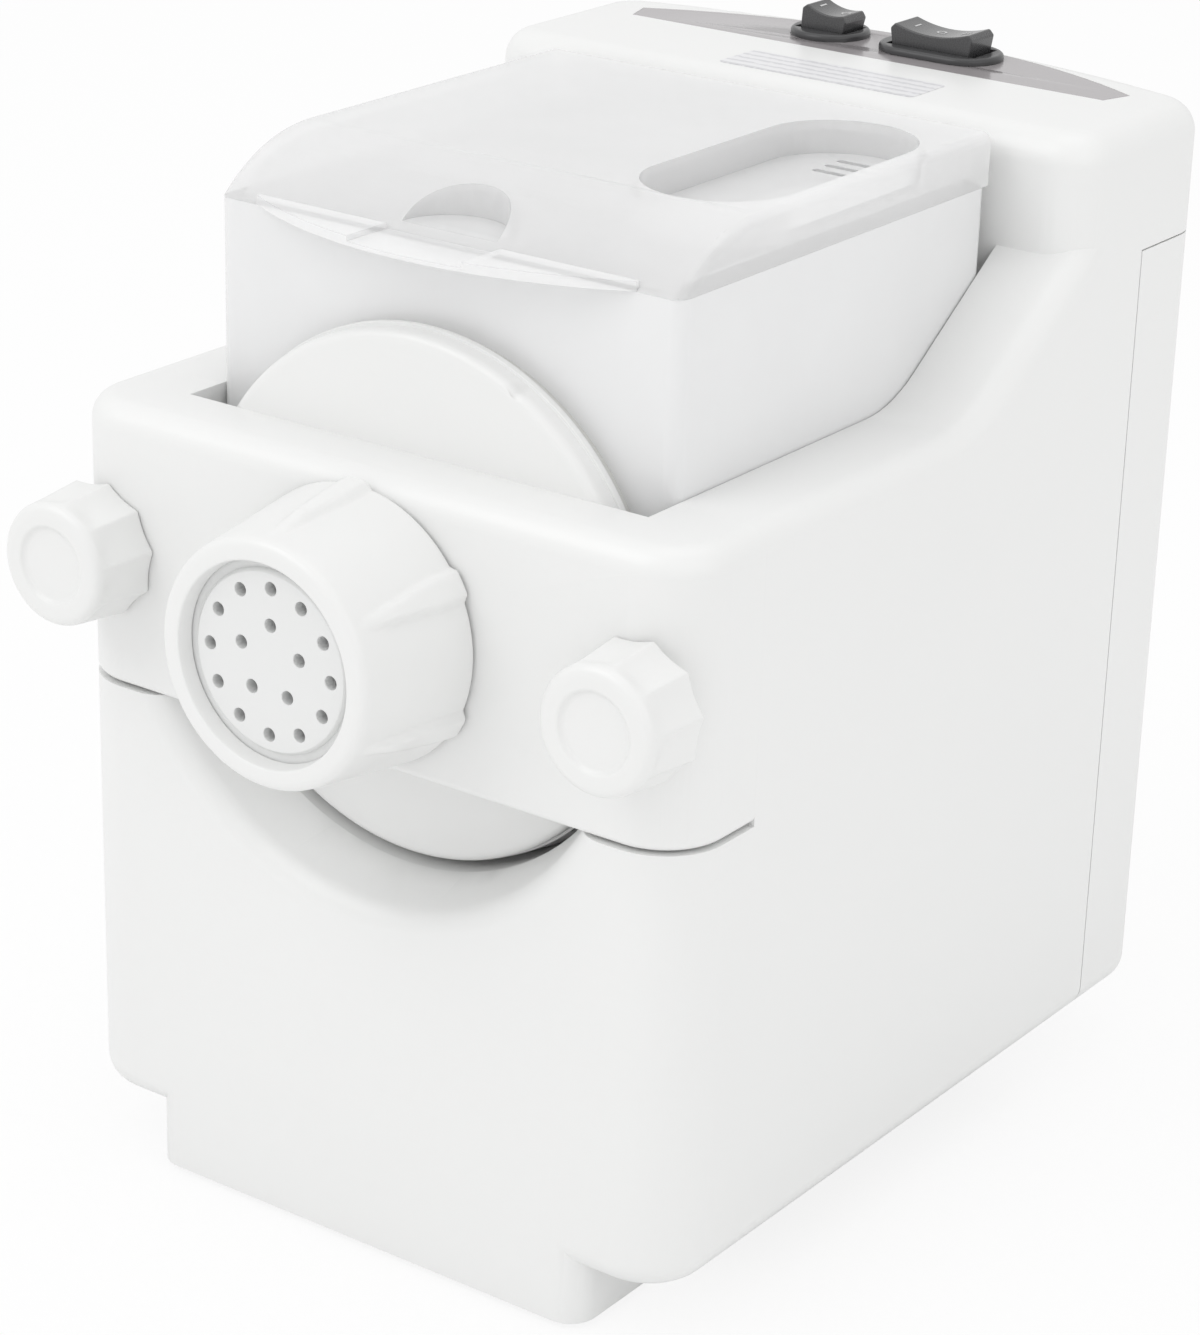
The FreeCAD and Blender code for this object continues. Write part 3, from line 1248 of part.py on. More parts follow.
def switch_cuts(body):
    """The two openings that the switch cases drop into."""
    cuts = new_sketch(body, "SwitchCuts", "XY_Plane", towerTop)
    for x, length, width in ((smallSwitchX, smallRockerLength, smallRockerWidth),
                             (mainSwitchX, mainRockerLength, mainRockerWidth)):
        across = length / 2 + caseWall
        along_y = width / 2 + caseWall
        draw_outline(cuts, rectangle(x - across, x + across, switchY - along_y, switchY + along_y))
    return cuts


def make_switch(label, x, length, width, outline):
    """Bezel and case in one moulding, with a well that the rocker tilts in."""
    body = new_body(label)
    rim = draw_outline(new_sketch(body, "BezelOutline", "XY_Plane", towerTop), outline)
    bezel = pad(body, "Bezel", rim, bezelHeight)
    top = towerTop + bezelHeight
    dress(body, "Fillet", "BezelEdge", bezel,
          lambda e: near(e.BoundBox.ZMin, top) and near(e.BoundBox.ZMax, top), bezelHeight * 0.6)
    across = length / 2 + caseWall - runningGap
    along_y = width / 2 + caseWall - runningGap
    case = draw_outline(new_sketch(body, "CaseOutline", "XY_Plane", towerTop), rectangle(
        x - across, x + across, switchY - along_y, switchY + along_y))
    pad(body, "Case", case, switchDepth, Reversed=True)
    well = draw_outline(new_sketch(body, "WellOutline", "XY_Plane", towerTop + bezelHeight + 1), rectangle(
        x - length / 2, x + length / 2, switchY - width / 2, switchY + width / 2))
    pocket(body, "Well", well, bezelHeight + 1 + wellDepth)


def make_rocker(label, x, length, width, tilt):
    """A rocker with a saddle top, pivoting about Y at the level of the panel."""
    body = new_body(label, x, towerTop)
    body.Placement.Rotation = FreeCAD.Rotation(Vector(0, 1, 0), tilt.value)
    body.setExpression("Placement.Rotation.Angle", tilt.text)
    half = length / 2 - rockerEndGap
    crest = half - rockerRound
    rise = bezelHeight + rockerRise
    deep = wellDepth - rockerEndGap
    section = draw_outline(new_sketch(body, "RockerSection", "XZ_Plane", -(switchY + width / 2 - faceGap)), [
        (-half / 3, -deep / 2), (half / 3, -deep / 2), (half * 0.92, 0), (half, rise - rockerRound),
        (crest, rise), (-crest, rise), (-half, rise - rockerRound), (-half * 0.92, 0)])
    pad(body, "Block", section, width - faceGap * 2)
    sag = length * rockerSag
    bend = (crest * crest + sag * sag) / (sag * 2)
    dish = draw_circle(new_sketch(body, "DishSection", "XZ_Plane", -(switchY + width)),
                       0, rise - sag + bend, bend)
    pocket(body, "Dish", dish, width * 2, Reversed=True)


make_housing()
make_rear_cover()
make_base_plate()
make_feet()
make_bracket()
make_studs()
make_knob("thumb_knob_left", -1)
make_knob("thumb_knob_right", 1)
make_front_plate()
make_plate_seal()
make_die_nut()
make_die()
make_bowl()
make_lid()
make_paddle()
make_drive_shaft()
make_gears()
make_gear_frame()
make_motor()
make_electrics()
make_base_screws()
make_panel()
make_switch("small_switch_case", smallSwitchX, smallRockerLength, smallRockerWidth,
            [(smallSwitchX - smallBezel, switchY, smallBezel),
             (smallSwitchX, switchY - smallBezel, smallBezel),
             (smallSwitchX + smallBezel, switchY, smallBezel),
             (smallSwitchX, switchY + smallBezel, smallBezel)])
make_switch("main_switch_case", mainSwitchX, mainRockerLength, mainRockerWidth,
            across_slot(mainSwitchX, switchY, mainBezelLength, mainBezelWidth))
make_rocker("small_rocker", smallSwitchX, smallRockerLength, smallRockerWidth, rockerTilt)
make_rocker("main_rocker", mainSwitchX, mainRockerLength, mainRockerWidth, as_size(0))
doc.recompute()

parts = [item for item in doc.Objects if item.TypeId in ("PartDesign::Body", "Part::Feature")]
failed = [item.Label for item in doc.Objects if "Invalid" in item.State or "Error" in item.State]
failed += [item.Label for item in parts if item.Shape.isNull() or not item.Shape.isValid()]
if failed:
    raise RuntimeError("These did not build: " + ", ".join(failed))
os.makedirs("parts", exist_ok=True)
for item in parts:
    item.Shape.exportStep(f"parts/{item.Label}.step")
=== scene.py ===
# Looks of the electric pasta maker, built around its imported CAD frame. Metres, +Z up.
import json
import math
import bmesh
import bpy
from mathutils import Matrix, Vector


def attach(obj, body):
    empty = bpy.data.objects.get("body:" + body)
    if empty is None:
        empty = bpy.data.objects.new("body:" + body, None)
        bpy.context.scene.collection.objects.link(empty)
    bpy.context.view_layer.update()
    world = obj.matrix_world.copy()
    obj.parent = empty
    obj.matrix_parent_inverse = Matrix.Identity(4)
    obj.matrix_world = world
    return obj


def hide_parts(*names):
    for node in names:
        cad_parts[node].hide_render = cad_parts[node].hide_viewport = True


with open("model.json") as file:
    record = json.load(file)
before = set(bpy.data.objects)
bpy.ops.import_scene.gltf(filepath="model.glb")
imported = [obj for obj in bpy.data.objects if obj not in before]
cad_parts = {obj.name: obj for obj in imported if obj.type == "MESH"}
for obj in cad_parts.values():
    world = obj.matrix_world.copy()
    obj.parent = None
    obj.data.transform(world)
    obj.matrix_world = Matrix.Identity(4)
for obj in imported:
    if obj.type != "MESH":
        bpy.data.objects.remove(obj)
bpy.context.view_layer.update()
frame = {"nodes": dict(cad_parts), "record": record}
nodes = frame["nodes"]
mm = 0.001
axisHeight = 180.2 * mm
drop = 112 * mm          # how far the drawing's front face stands ahead of the frame's origin
print("frame loaded:", len(nodes), "nodes")


class Wire:
    def __init__(self, finish, socket):
        self.finish = finish
        self.socket = socket

    def calc(self, operation, *values):
        return self.finish.node("ShaderNodeMath", {"operation": operation}, values)

    def __add__(self, other):
        return self.calc("ADD", self, other)

    def __radd__(self, other):
        return self.calc("ADD", other, self)

    def __sub__(self, other):
        return self.calc("SUBTRACT", self, other)

    def __rsub__(self, other):
        return self.calc("SUBTRACT", other, self)

    def __mul__(self, other):
        return self.calc("MULTIPLY", self, other)

    def __rmul__(self, other):
        return self.calc("MULTIPLY", other, self)

    def __pow__(self, other):
        return self.calc("POWER", self, other)


class Finish:
    def __init__(self, name):
        self.material = bpy.data.materials.new(name)
        self.material.use_nodes = True
        self.tree = self.material.node_tree
        self.tree.nodes.clear()
        self.place = self.node("ShaderNodeTexCoord", output="Object")

    def node(self, kind, settings=None, values=(), output=0):
        made = self.tree.nodes.new(kind)
        for key, value in (settings or {}).items():
            if key == "stops":
                for index, (spot, tone) in enumerate(value):
                    stop = made.color_ramp.elements[index] if index < 2 \
                        else made.color_ramp.elements.new(spot)
                    stop.position = spot
                    stop.color = (tone, tone, tone, 1)
            else:
                setattr(made, key, value)
        pairs = values.items() if isinstance(values, dict) else enumerate(values)
        for key, value in pairs:
            if isinstance(value, Wire):
                self.tree.links.new(value.socket, made.inputs[key])
            else:
                made.inputs[key].default_value = value
        return Wire(self, made.outputs[output])

    def noise(self, scale, detail=3.0, rough=0.5):
        return self.node("ShaderNodeTexNoise", {}, {"Vector": self.place, "Scale": scale,
                                                    "Detail": detail, "Roughness": rough})

    def blendColour(self, amount, first, second):
        return self.node("ShaderNodeMix", {"data_type": "RGBA"}, {0: amount, 6: first, 7: second}, output=2)

    def close(self, shader):
        end = self.tree.nodes.new("ShaderNodeOutputMaterial")
        self.tree.links.new(shader.socket, end.inputs["Surface"])
        return self.material


moulding = {"driftScale": 14, "driftRough": 0.05, "waveScale": 38, "bend": 1.5, "coatRough": 0.12}


def mouldedPlastic(name, look):
    # a moulded surface: slow tone drift, fine grain in gloss and height, faint sink marks
    made = Finish(name)
    drift = made.noise(moulding["driftScale"], 2.0)
    grain = made.noise(look["grainScale"], 2.0, 0.6)
    wave = made.noise(moulding["waveScale"], 1.0)
    tone = made.blendColour(drift, (*look["colour"], 1), (*look["deepColour"], 1))
    height = grain * look["grainDepth"] + wave * look["waveDepth"]
    bump = made.node("ShaderNodeBump", {}, {"Strength": 1.0, "Distance": 1 * mm, "Height": height})
    rough = look["rough"] + (grain - 0.5) * look["roughSpread"] + (drift - 0.5) * moulding["driftRough"]
    return made.close(made.node("ShaderNodeBsdfPrincipled", {}, {
        "Base Color": tone, "Roughness": rough, "Normal": bump, "IOR": moulding["bend"],
        "Metallic": 0.0, "Coat Weight": look.get("coat", 0.0), "Coat Roughness": moulding["coatRough"]}))


clearing = {"bend": 1.57, "roughSpread": 0.06, "coatRough": 0.03}


def clearPlastic(name, look):
    # clear where faced squarely, denser towards its edges as thick moulded styrene is; the grey towards its
    # edges is painted shade standing in for refraction at the rims
    made = Finish(name)
    facing = made.node("ShaderNodeLayerWeight", {}, {"Blend": look["blend"]}, output=1)
    edge = facing ** look["edgePower"]
    haze = made.noise(look["hazeScale"], 3.0)
    # painted shade: the colour greys towards grazing angles, standing in for refraction at the rims
    body = made.blendColour(edge, (*look["colour"], 1), (*look["grazingShadeColour"], 1))
    height = made.noise(look["waveScale"], 1.0) * look["waveDepth"]
    bump = made.node("ShaderNodeBump", {}, {"Strength": 1.0, "Distance": 1 * mm, "Height": height})
    rough = look["rough"] + (haze - 0.5) * clearing["roughSpread"]
    alpha = look["alpha"] + (haze - 0.5) * look["hazeSpread"] + edge * look["edgeAlpha"]
    return made.close(made.node("ShaderNodeBsdfPrincipled", {}, {
        "Base Color": body, "Roughness": rough, "Alpha": alpha, "Normal": bump, "IOR": clearing["bend"],
        "Coat Weight": look["coat"], "Coat Roughness": clearing["coatRough"]}))


drawing = {"streakScale": 260.0, "streakRough": 0.12, "streakDepth": 0.03, "bumpStrength": 0.6,
           "blotchScale": 45, "blotchRough": 0.08}


def metalFinish(name, look):
    # drawn or turned metal: streaks along one direction, and blotches in the gloss
    made = Finish(name)
    stretched = made.node("ShaderNodeMapping", {}, {"Vector": made.place, "Scale": look["stretch"]})
    streak = made.node("ShaderNodeTexNoise", {}, {"Vector": stretched, "Scale": drawing["streakScale"],
                                                  "Detail": 3.0})
    blotch = made.noise(drawing["blotchScale"], 3.0)
    tone = made.blendColour(streak, (*look["colour"], 1), (*look["deepColour"], 1))
    bump = made.node("ShaderNodeBump", {}, {"Strength": drawing["bumpStrength"], "Distance": 1 * mm,
                                            "Height": streak * drawing["streakDepth"]})
    rough = look["rough"] + (streak - 0.5) * drawing["streakRough"] + (blotch - 0.5) * drawing["blotchRough"]
    return made.close(made.node("ShaderNodeBsdfPrincipled", {}, {
        "Base Color": tone, "Metallic": 1.0, "Normal": bump, "Roughness": rough}))


plastics = {
    "whiteShell": {"colour": (0.865, 0.868, 0.862), "deepColour": (0.85, 0.853, 0.846), "rough": 0.36,
                   "roughSpread": 0.10, "grainScale": 1500.0, "grainDepth": 0.012, "waveDepth": 0.02,
                   "coat": 0.1},
    "whiteKnob": {"colour": (0.86, 0.862, 0.855), "deepColour": (0.845, 0.848, 0.84), "rough": 0.33,
                  "roughSpread": 0.08, "grainScale": 1700.0, "grainDepth": 0.008, "waveDepth": 0.02,
                  "coat": 0.15},
    "whiteDie": {"colour": (0.82, 0.825, 0.82), "deepColour": (0.80, 0.805, 0.80), "rough": 0.4,
                 "roughSpread": 0.08, "grainScale": 1400.0, "grainDepth": 0.01, "waveDepth": 0.01},
    "baseTray": {"colour": (0.82, 0.822, 0.815), "deepColour": (0.79, 0.792, 0.785), "rough": 0.55,
                 "roughSpread": 0.12, "grainScale": 1100.0, "grainDepth": 0.03, "waveDepth": 0.02},
    "footRubber": {"colour": (0.33, 0.33, 0.33), "deepColour": (0.27, 0.27, 0.27), "rough": 0.85,
                   "roughSpread": 0.1, "grainScale": 900.0, "grainDepth": 0.04, "waveDepth": 0.03},
    "sealRubber": {"colour": (0.72, 0.72, 0.70), "deepColour": (0.66, 0.66, 0.64), "rough": 0.7,
                   "roughSpread": 0.1, "grainScale": 900.0, "grainDepth": 0.02, "waveDepth": 0.02},
    "gearPlastic": {"colour": (0.80, 0.78, 0.70), "deepColour": (0.74, 0.72, 0.64), "rough": 0.5,
                    "roughSpread": 0.1, "grainScale": 900.0, "grainDepth": 0.02, "waveDepth": 0.02},
    "paddlePlastic": {"colour": (0.76, 0.77, 0.77), "deepColour": (0.71, 0.72, 0.72), "rough": 0.42,
                      "roughSpread": 0.1, "grainScale": 1200.0, "grainDepth": 0.015, "waveDepth": 0.03},
    "capacitorCan": {"colour": (0.70, 0.70, 0.69), "deepColour": (0.63, 0.63, 0.62), "rough": 0.4,
                     "roughSpread": 0.1, "grainScale": 900.0, "grainDepth": 0.01, "waveDepth": 0.03},
    "panelGrey": {"colour": (0.36, 0.34, 0.348), "deepColour": (0.335, 0.315, 0.322), "rough": 0.18,
                  "roughSpread": 0.06, "grainScale": 1800.0, "grainDepth": 0.008, "waveDepth": 0.01,
                  "coat": 0.3},
    "switchBlack": {"colour": (0.055, 0.055, 0.057), "deepColour": (0.045, 0.045, 0.047), "rough": 0.34,
                    "roughSpread": 0.08, "grainScale": 1900.0, "grainDepth": 0.01, "waveDepth": 0.01,
                    "coat": 0.2},
    "rockerGrey": {"colour": (0.062, 0.062, 0.064), "deepColour": (0.05, 0.05, 0.052), "rough": 0.27,
                   "roughSpread": 0.06, "grainScale": 1900.0, "grainDepth": 0.006, "waveDepth": 0.01,
                   "coat": 0.4},
    "legendWhite": {"colour": (0.62, 0.62, 0.62), "deepColour": (0.58, 0.58, 0.58), "rough": 0.5,
                    "roughSpread": 0.05, "grainScale": 1900.0, "grainDepth": 0.004, "waveDepth": 0.0}}
clears = {
    "lidClear": {"colour": (0.99, 0.99, 0.992), "grazingShadeColour": (0.96, 0.962, 0.965), "alpha": 0.56,
                 "edgeAlpha": 0.35, "edgePower": 3.0, "blend": 0.5, "rough": 0.08, "hazeScale": 30.0,
                 "hazeSpread": 0.06, "waveScale": 22.0, "waveDepth": 0.05, "coat": 0.5},
    # painted shade: grey for the rounded rims of the clear lid, standing in for refraction
    "lidRimPaintedShade": {"colour": (0.47, 0.475, 0.485), "grazingShadeColour": (0.30, 0.305, 0.315), "alpha": 0.85,
                "edgeAlpha": 0.1, "edgePower": 2.0, "blend": 0.5, "rough": 0.06, "hazeScale": 60.0,
                "hazeSpread": 0.10, "waveScale": 22.0, "waveDepth": 0.02, "coat": 0.8},
    "bowlClear": {"colour": (0.95, 0.952, 0.955), "grazingShadeColour": (0.87, 0.873, 0.876), "alpha": 0.84,
                  "edgeAlpha": 0.12, "edgePower": 3.0, "blend": 0.5, "rough": 0.2, "hazeScale": 24.0,
                  "hazeSpread": 0.08, "waveScale": 20.0, "waveDepth": 0.05, "coat": 0.3},
    # painted shade: grey for the rounded rims of the clear bowl, standing in for refraction
    "bowlRimPaintedShade": {"colour": (0.84, 0.843, 0.848), "grazingShadeColour": (0.70, 0.703, 0.71), "alpha": 0.9,
                 "edgeAlpha": 0.05, "edgePower": 2.0, "blend": 0.5, "rough": 0.1, "hazeScale": 60.0,
                 "hazeSpread": 0.06, "waveScale": 22.0, "waveDepth": 0.02, "coat": 0.6}}
metals = {
    "screwSteel": {"colour": (0.62, 0.62, 0.63), "deepColour": (0.5, 0.5, 0.51), "rough": 0.3,
                   "stretch": (1.0, 0.05, 1.0)},
    "plateSteel": {"colour": (0.60, 0.61, 0.62), "deepColour": (0.5, 0.51, 0.52), "rough": 0.38,
                   "stretch": (0.05, 1.0, 1.0)},
    "gearBrass": {"colour": (0.72, 0.56, 0.27), "deepColour": (0.62, 0.47, 0.21), "rough": 0.32,
                  "stretch": (1.0, 0.1, 1.0)}}
finishes = {name: mouldedPlastic(name, look) for name, look in plastics.items()}
finishes.update({name: clearPlastic(name, look) for name, look in clears.items()})
finishes.update({name: metalFinish(name, look) for name, look in metals.items()})
print("finishes mixed:", len(finishes))

bodyOf = {node: body for body, members in frame["record"]["behaviour"]["bodies"].items() for node in members}


def settle(mesh, name, finish, body, standsFor=(), smooth=True):
    # turns a finished bmesh into a piece that rides on its body and stands for CAD nodes
    data = bpy.data.meshes.new(name)
    mesh.to_mesh(data)
    mesh.free()
    piece = bpy.data.objects.new(name, data)
    bpy.context.scene.collection.objects.link(piece)
    for face in data.polygons:
        face.use_smooth = smooth
    data.materials.append(finishes[finish])
    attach(piece, body)
    if standsFor:
        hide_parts(*standsFor)
    return piece


sharpAngle = math.radians(32)


def soften(piece, width, segments):
    # rounds what is left sharp, and keeps the flats flat in their shading
    piece.data.set_sharp_from_angle(angle=sharpAngle)
    bevel = piece.modifiers.new("edges", "BEVEL")
    bevel.width = width
    bevel.segments = segments
    bevel.limit_method = "ANGLE"
    bevel.angle_limit = sharpAngle
    bevel.harden_normals = True
    bevel.miter_outer = "MITER_ARC"
    bevel.use_clamp_overlap = True


near = 0.05 * mm         # how close a vertex lies to a plane it belongs to
rim = {"end": (100.0, 69.0, 254.25), "radius": 7.0, "reach": 0.5, "find": 0.1}


def blendRim(mesh):
    # carries the rounding of each side rim on until it meets the tower
    end = [value * mm for value in rim["end"]]
    radius = rim["radius"] * mm
    start = end[0] - radius

    def outward(vert):
        return abs(vert.co.x)

    corners = [vert for vert in mesh.verts
               if math.dist((outward(vert), vert.co.y, vert.co.z), end) < rim["find"] * mm]
    for corner in corners:
        cap = min(corner.link_faces, key=lambda face: face.normal.z)
        ledge = max(corner.link_faces, key=lambda face: face.normal.z)
        rise = ledge.normal.z
        rounding = sorted((vert for vert in cap.verts if vert != corner), key=outward)
        foot = sorted((vert for vert in ledge.verts if vert not in cap.verts and vert.co.y > end[1]
                       and outward(vert) > start - rim["reach"] * mm), key=outward)
        for vert in foot:
            out = max(0, outward(vert) - start)
            vert.co.z -= (radius - math.sqrt(max(0, radius ** 2 - out * out))) / rise
        bmesh.ops.weld_verts(mesh, targetmap={corner: rounding[-1]})
        chord = mesh.edges.get((rounding[0], rounding[-1]))
        bmesh.ops.dissolve_edges(mesh, edges=[chord])
        for vert in foot[:-1]:
            facing = min(rounding, key=lambda other: abs(outward(other) - outward(vert)))
            shared = set(facing.link_faces) & set(vert.link_faces)
            if shared and not mesh.edges.get((facing, vert)):
                bmesh.utils.face_split(shared.pop(), facing, vert)


scoop = {"radius": 79.4, "find": 0.2, "blend": 7.0, "steps": 8}


def easeScoop(mesh):
    # rounds the scoop below the disc into the front face
    def onLip(vert):
        radius = math.hypot(vert.co.x, vert.co.z - axisHeight)
        return abs(vert.co.y + drop) < near and abs(radius - scoop["radius"] * mm) < scoop["find"] * mm

    lip = [edge for edge in mesh.edges if all(onLip(vert) for vert in edge.verts)]
    bmesh.ops.bevel(mesh, geom=lip, offset=scoop["blend"] * mm, offset_type="OFFSET",
                    segments=scoop["steps"], profile=0.5, affect="EDGES", material=-1,
                    clamp_overlap=True)


seam = {"gap": 0.45, "depth": 213.0, "top": 250.0}


def openSeam(mesh):
    # opens the fine joint line between the rear cover and the housing
    for vert in mesh.verts:
        if abs(vert.co.y - seam["depth"] * mm + drop) < near:
            vert.co.y += seam["gap"] * mm
        if abs(vert.co.z - seam["top"] * mm) < near:
            vert.co.z -= seam["gap"] * mm


shapers = {"main_housing": (blendRim, easeScoop), "rear_cover": (openSeam,)}


merging = {"weld": 0.004, "flat": 0.6}


def shellFrom(node, finish, width, segments, rimShadeFinish=None):
    # a merged copy of a CAD node whose sharp edges get their moulded rounding; where a rim finish is given
    # the rounding is painted grey in it, painted shade that stands in for refraction at clear rims
    mesh = bmesh.new()
    mesh.from_mesh(nodes[node].data)
    bmesh.ops.remove_doubles(mesh, verts=mesh.verts, dist=merging["weld"] * mm)
    bmesh.ops.dissolve_limit(mesh, angle_limit=math.radians(merging["flat"]), verts=mesh.verts,
                             edges=mesh.edges)
    for shaper in shapers.get(node, ()):
        shaper(mesh)
    name = "".join(word.capitalize() if index else word for index, word in enumerate(node.split("_")))
    piece = settle(mesh, name + "Moulded", finish, bodyOf[node], [node])
    soften(piece, width, segments)
    if rimShadeFinish:
        piece.data.materials.append(finishes[rimShadeFinish])
        piece.modifiers["edges"].material = 1
    return piece


def turned(profile, centre, steps, closed=True):
    # spins (y, radius) points about a level axis along Y through centre (x, z); an open profile's
    # two end rings are filled flat
    mesh = bmesh.new()
    x, z = centre
    points = [mesh.verts.new((x, y, z + radius)) for y, radius in profile]
    loop = zip(points, points[1:] + points[:1]) if closed else zip(points, points[1:])
    edges = [mesh.edges.new(pair) for pair in loop]
    bmesh.ops.spin(mesh, geom=points + edges, cent=(x, 0, z), axis=(0, 1, 0),
                   angle=math.tau, steps=steps, use_merge=True)
    bmesh.ops.remove_doubles(mesh, verts=mesh.verts, dist=0.002 * mm)
    if not closed:
        rims = [edge for edge in mesh.edges if edge.is_boundary]
        bmesh.ops.holes_fill(mesh, edges=rims, sides=0)
    bmesh.ops.recalc_face_normals(mesh, faces=mesh.faces)
    return mesh


def rounded(corners, steps):
    # cuts each corner of an outline of (place, place, cut) with an arc that starts and ends at its cut
    made = []
    count = len(corners)
    for index, corner in enumerate(corners):
        before, here, after = (Vector(corners[i % count][:2]) for i in (index - 1, index, index + 1))
        back, ahead = before - here, after - here
        cut = min(corner[2], back.length * 0.48, ahead.length * 0.48)
        if cut <= 0:
            made.append(tuple(here))
            continue
        start, end = here + back.normalized() * cut, here + ahead.normalized() * cut
        for step in range(steps + 1):
            t = step / steps
            made.append(tuple(start * (1 - t) ** 2 + here * 2 * t * (1 - t) + end * t * t))
    return made


def refine(outline, longest):
    # adds points along the long straight runs of an outline
    made = [outline[0]]
    for before, after in zip(outline, outline[1:]):
        parts = max(1, math.ceil(math.dist(before, after) / longest))
        made += [tuple(Vector(before).lerp(Vector(after), step / parts)) for step in range(1, parts + 1)]
    return made


def reshape(mesh, centre, move):
    # moves each vertex radially: move(angle, y, radius) gives the new radius
    x, z = centre
    for vert in mesh.verts:
        across, up = vert.co.x - x, vert.co.z - z
        radius = math.hypot(across, up)
        if radius > 1e-6:
            scale = move(math.atan2(up, across), vert.co.y, radius) / radius
            vert.co.x = x + across * scale
            vert.co.z = z + up * scale


knob = {"apart": 87.2, "clear": 0.3, "length": 20.0, "rear": 18.6, "front": 16.6, "dish": 10.8,
        "dishSlope": 1.1, "dishDepth": 1.2, "bore": 4.05, "floorRing": 4, "blind": 6.0, "flutes": 10,
        "fluteDepth": 1.5, "fadeStart": 2.2, "fadeLength": 4.0, "face": 1.0, "turn": 8, "facet": 1.6,
        "steps": 240}


def thumbKnob(side):
    # a thumb knob: shallow hollow grips between crisp ridges, which fade out at the dished face
    front = -drop - knob["length"] * mm
    rear = -drop - knob["clear"] * mm
    floor = front + knob["dishDepth"] * mm
    blind = front + knob["blind"] * mm
    corners = [(rear, knob["bore"], 0.3), (rear, knob["rear"], 0.8), (front, knob["front"], 3.8),
               (front, knob["dish"], 0.6), (floor, knob["dish"] - knob["dishSlope"], 0.8),
               (floor, knob["floorRing"], 0), (blind, knob["bore"], 0)]
    tail = rounded([(y, radius * mm, cut * mm) for y, radius, cut in corners], 7)
    outline = [tail[-1]] + tail[:-1]
    body = [outline[0]] + refine(outline[1:], knob["facet"] * mm)
    centre = (side * knob["apart"] * mm, axisHeight)
    mesh = turned(body, centre, knob["steps"], False)

    def grip(angle, y, radius):
        if radius < (knob["dish"] + knob["face"]) * mm:
            return radius
        turn = (math.degrees(angle) - knob["turn"]) / 360 * knob["flutes"] % 1
        depth = min(1, max(0, (y - front - knob["fadeStart"] * mm) / (knob["fadeLength"] * mm)))
        return radius - knob["fluteDepth"] * mm * (1 - (2 * turn - 1) ** 2) * depth

    reshape(mesh, centre, grip)
    node = "thumb_knob_left" if side < 0 else "thumb_knob_right"
    settle(mesh, "thumbKnob" + ("Left" if side < 0 else "Right"), "whiteKnob", bodyOf[node],
           [node])


nut = {"rear": 37.2, "front": 32.4, "length": 38.0, "clear": 0.8, "mouth": 26.9, "mouthDepth": 4.7,
       "mouthSlope": 0.6, "bore": 30.05, "facet": 1.6, "face": 3.4, "rib": 1.75, "ribs": 6, "ribTurn": 30,
       "ribHalf": 7.8, "ribTip": 2.5, "ribStart": 4.0, "ribLength": 24, "ribGain": 2.2, "steps": 288}


def ribbedNut():
    # the nut that holds the die: a tapered drum with long grip ribs, open at the mouth
    front = -drop - nut["length"] * mm
    rear = -drop - nut["clear"] * mm
    seat = front + nut["mouthDepth"] * mm
    corners = [(rear, nut["bore"], 0.3), (rear, nut["rear"], 0.9), (front, nut["front"], 3.4),
               (front, nut["mouth"], 0.6), (seat, nut["mouth"] - nut["mouthSlope"], 0.2),
               (seat, nut["bore"], 0.1)]
    outline = rounded([(y, radius * mm, cut * mm) for y, radius, cut in corners], 6)
    centre = (0.0, axisHeight)
    mesh = turned(refine(outline, nut["facet"] * mm), centre, nut["steps"])

    def grip(angle, y, radius):
        if radius < (nut["mouth"] + nut["face"]) * mm:
            return radius
        span = 360 / nut["ribs"]
        away = (math.degrees(angle) - nut["ribTurn"] + span / 2) % span - span / 2
        depth = min(1, max(0, (y - front - nut["ribStart"] * mm) / (nut["ribLength"] * mm)))
        half = nut["ribTip"] + (nut["ribHalf"] - nut["ribTip"]) * depth
        share = max(0.0, 1 - abs(away) / half)
        crest = min(1.0, share * nut["ribGain"])
        rise = crest * crest * (3 - 2 * crest) * min(1.0, depth * nut["ribGain"])
        return radius + nut["rib"] * mm * rise

    reshape(mesh, centre, grip)
    settle(mesh, "ribbedNut", "whiteKnob", bodyOf["die_nut"], ["die_nut"])


disc = {"tip": -30, "face": 20, "back": 28, "end": 34, "throat": 17, "funnel": 23, "bore": 22,
        "barrel": 30, "front": 70.7, "flange": 71.5, "flangeDepth": 2.2, "spigot": 59.6, "spigotBore": 54,
        "funnelBore": 26, "steps": 240, "notchTurn": 63, "notchHalf": 1.3, "notchDepth": 1.1,
        "notchFloor": 69, "notchEnd": 3}


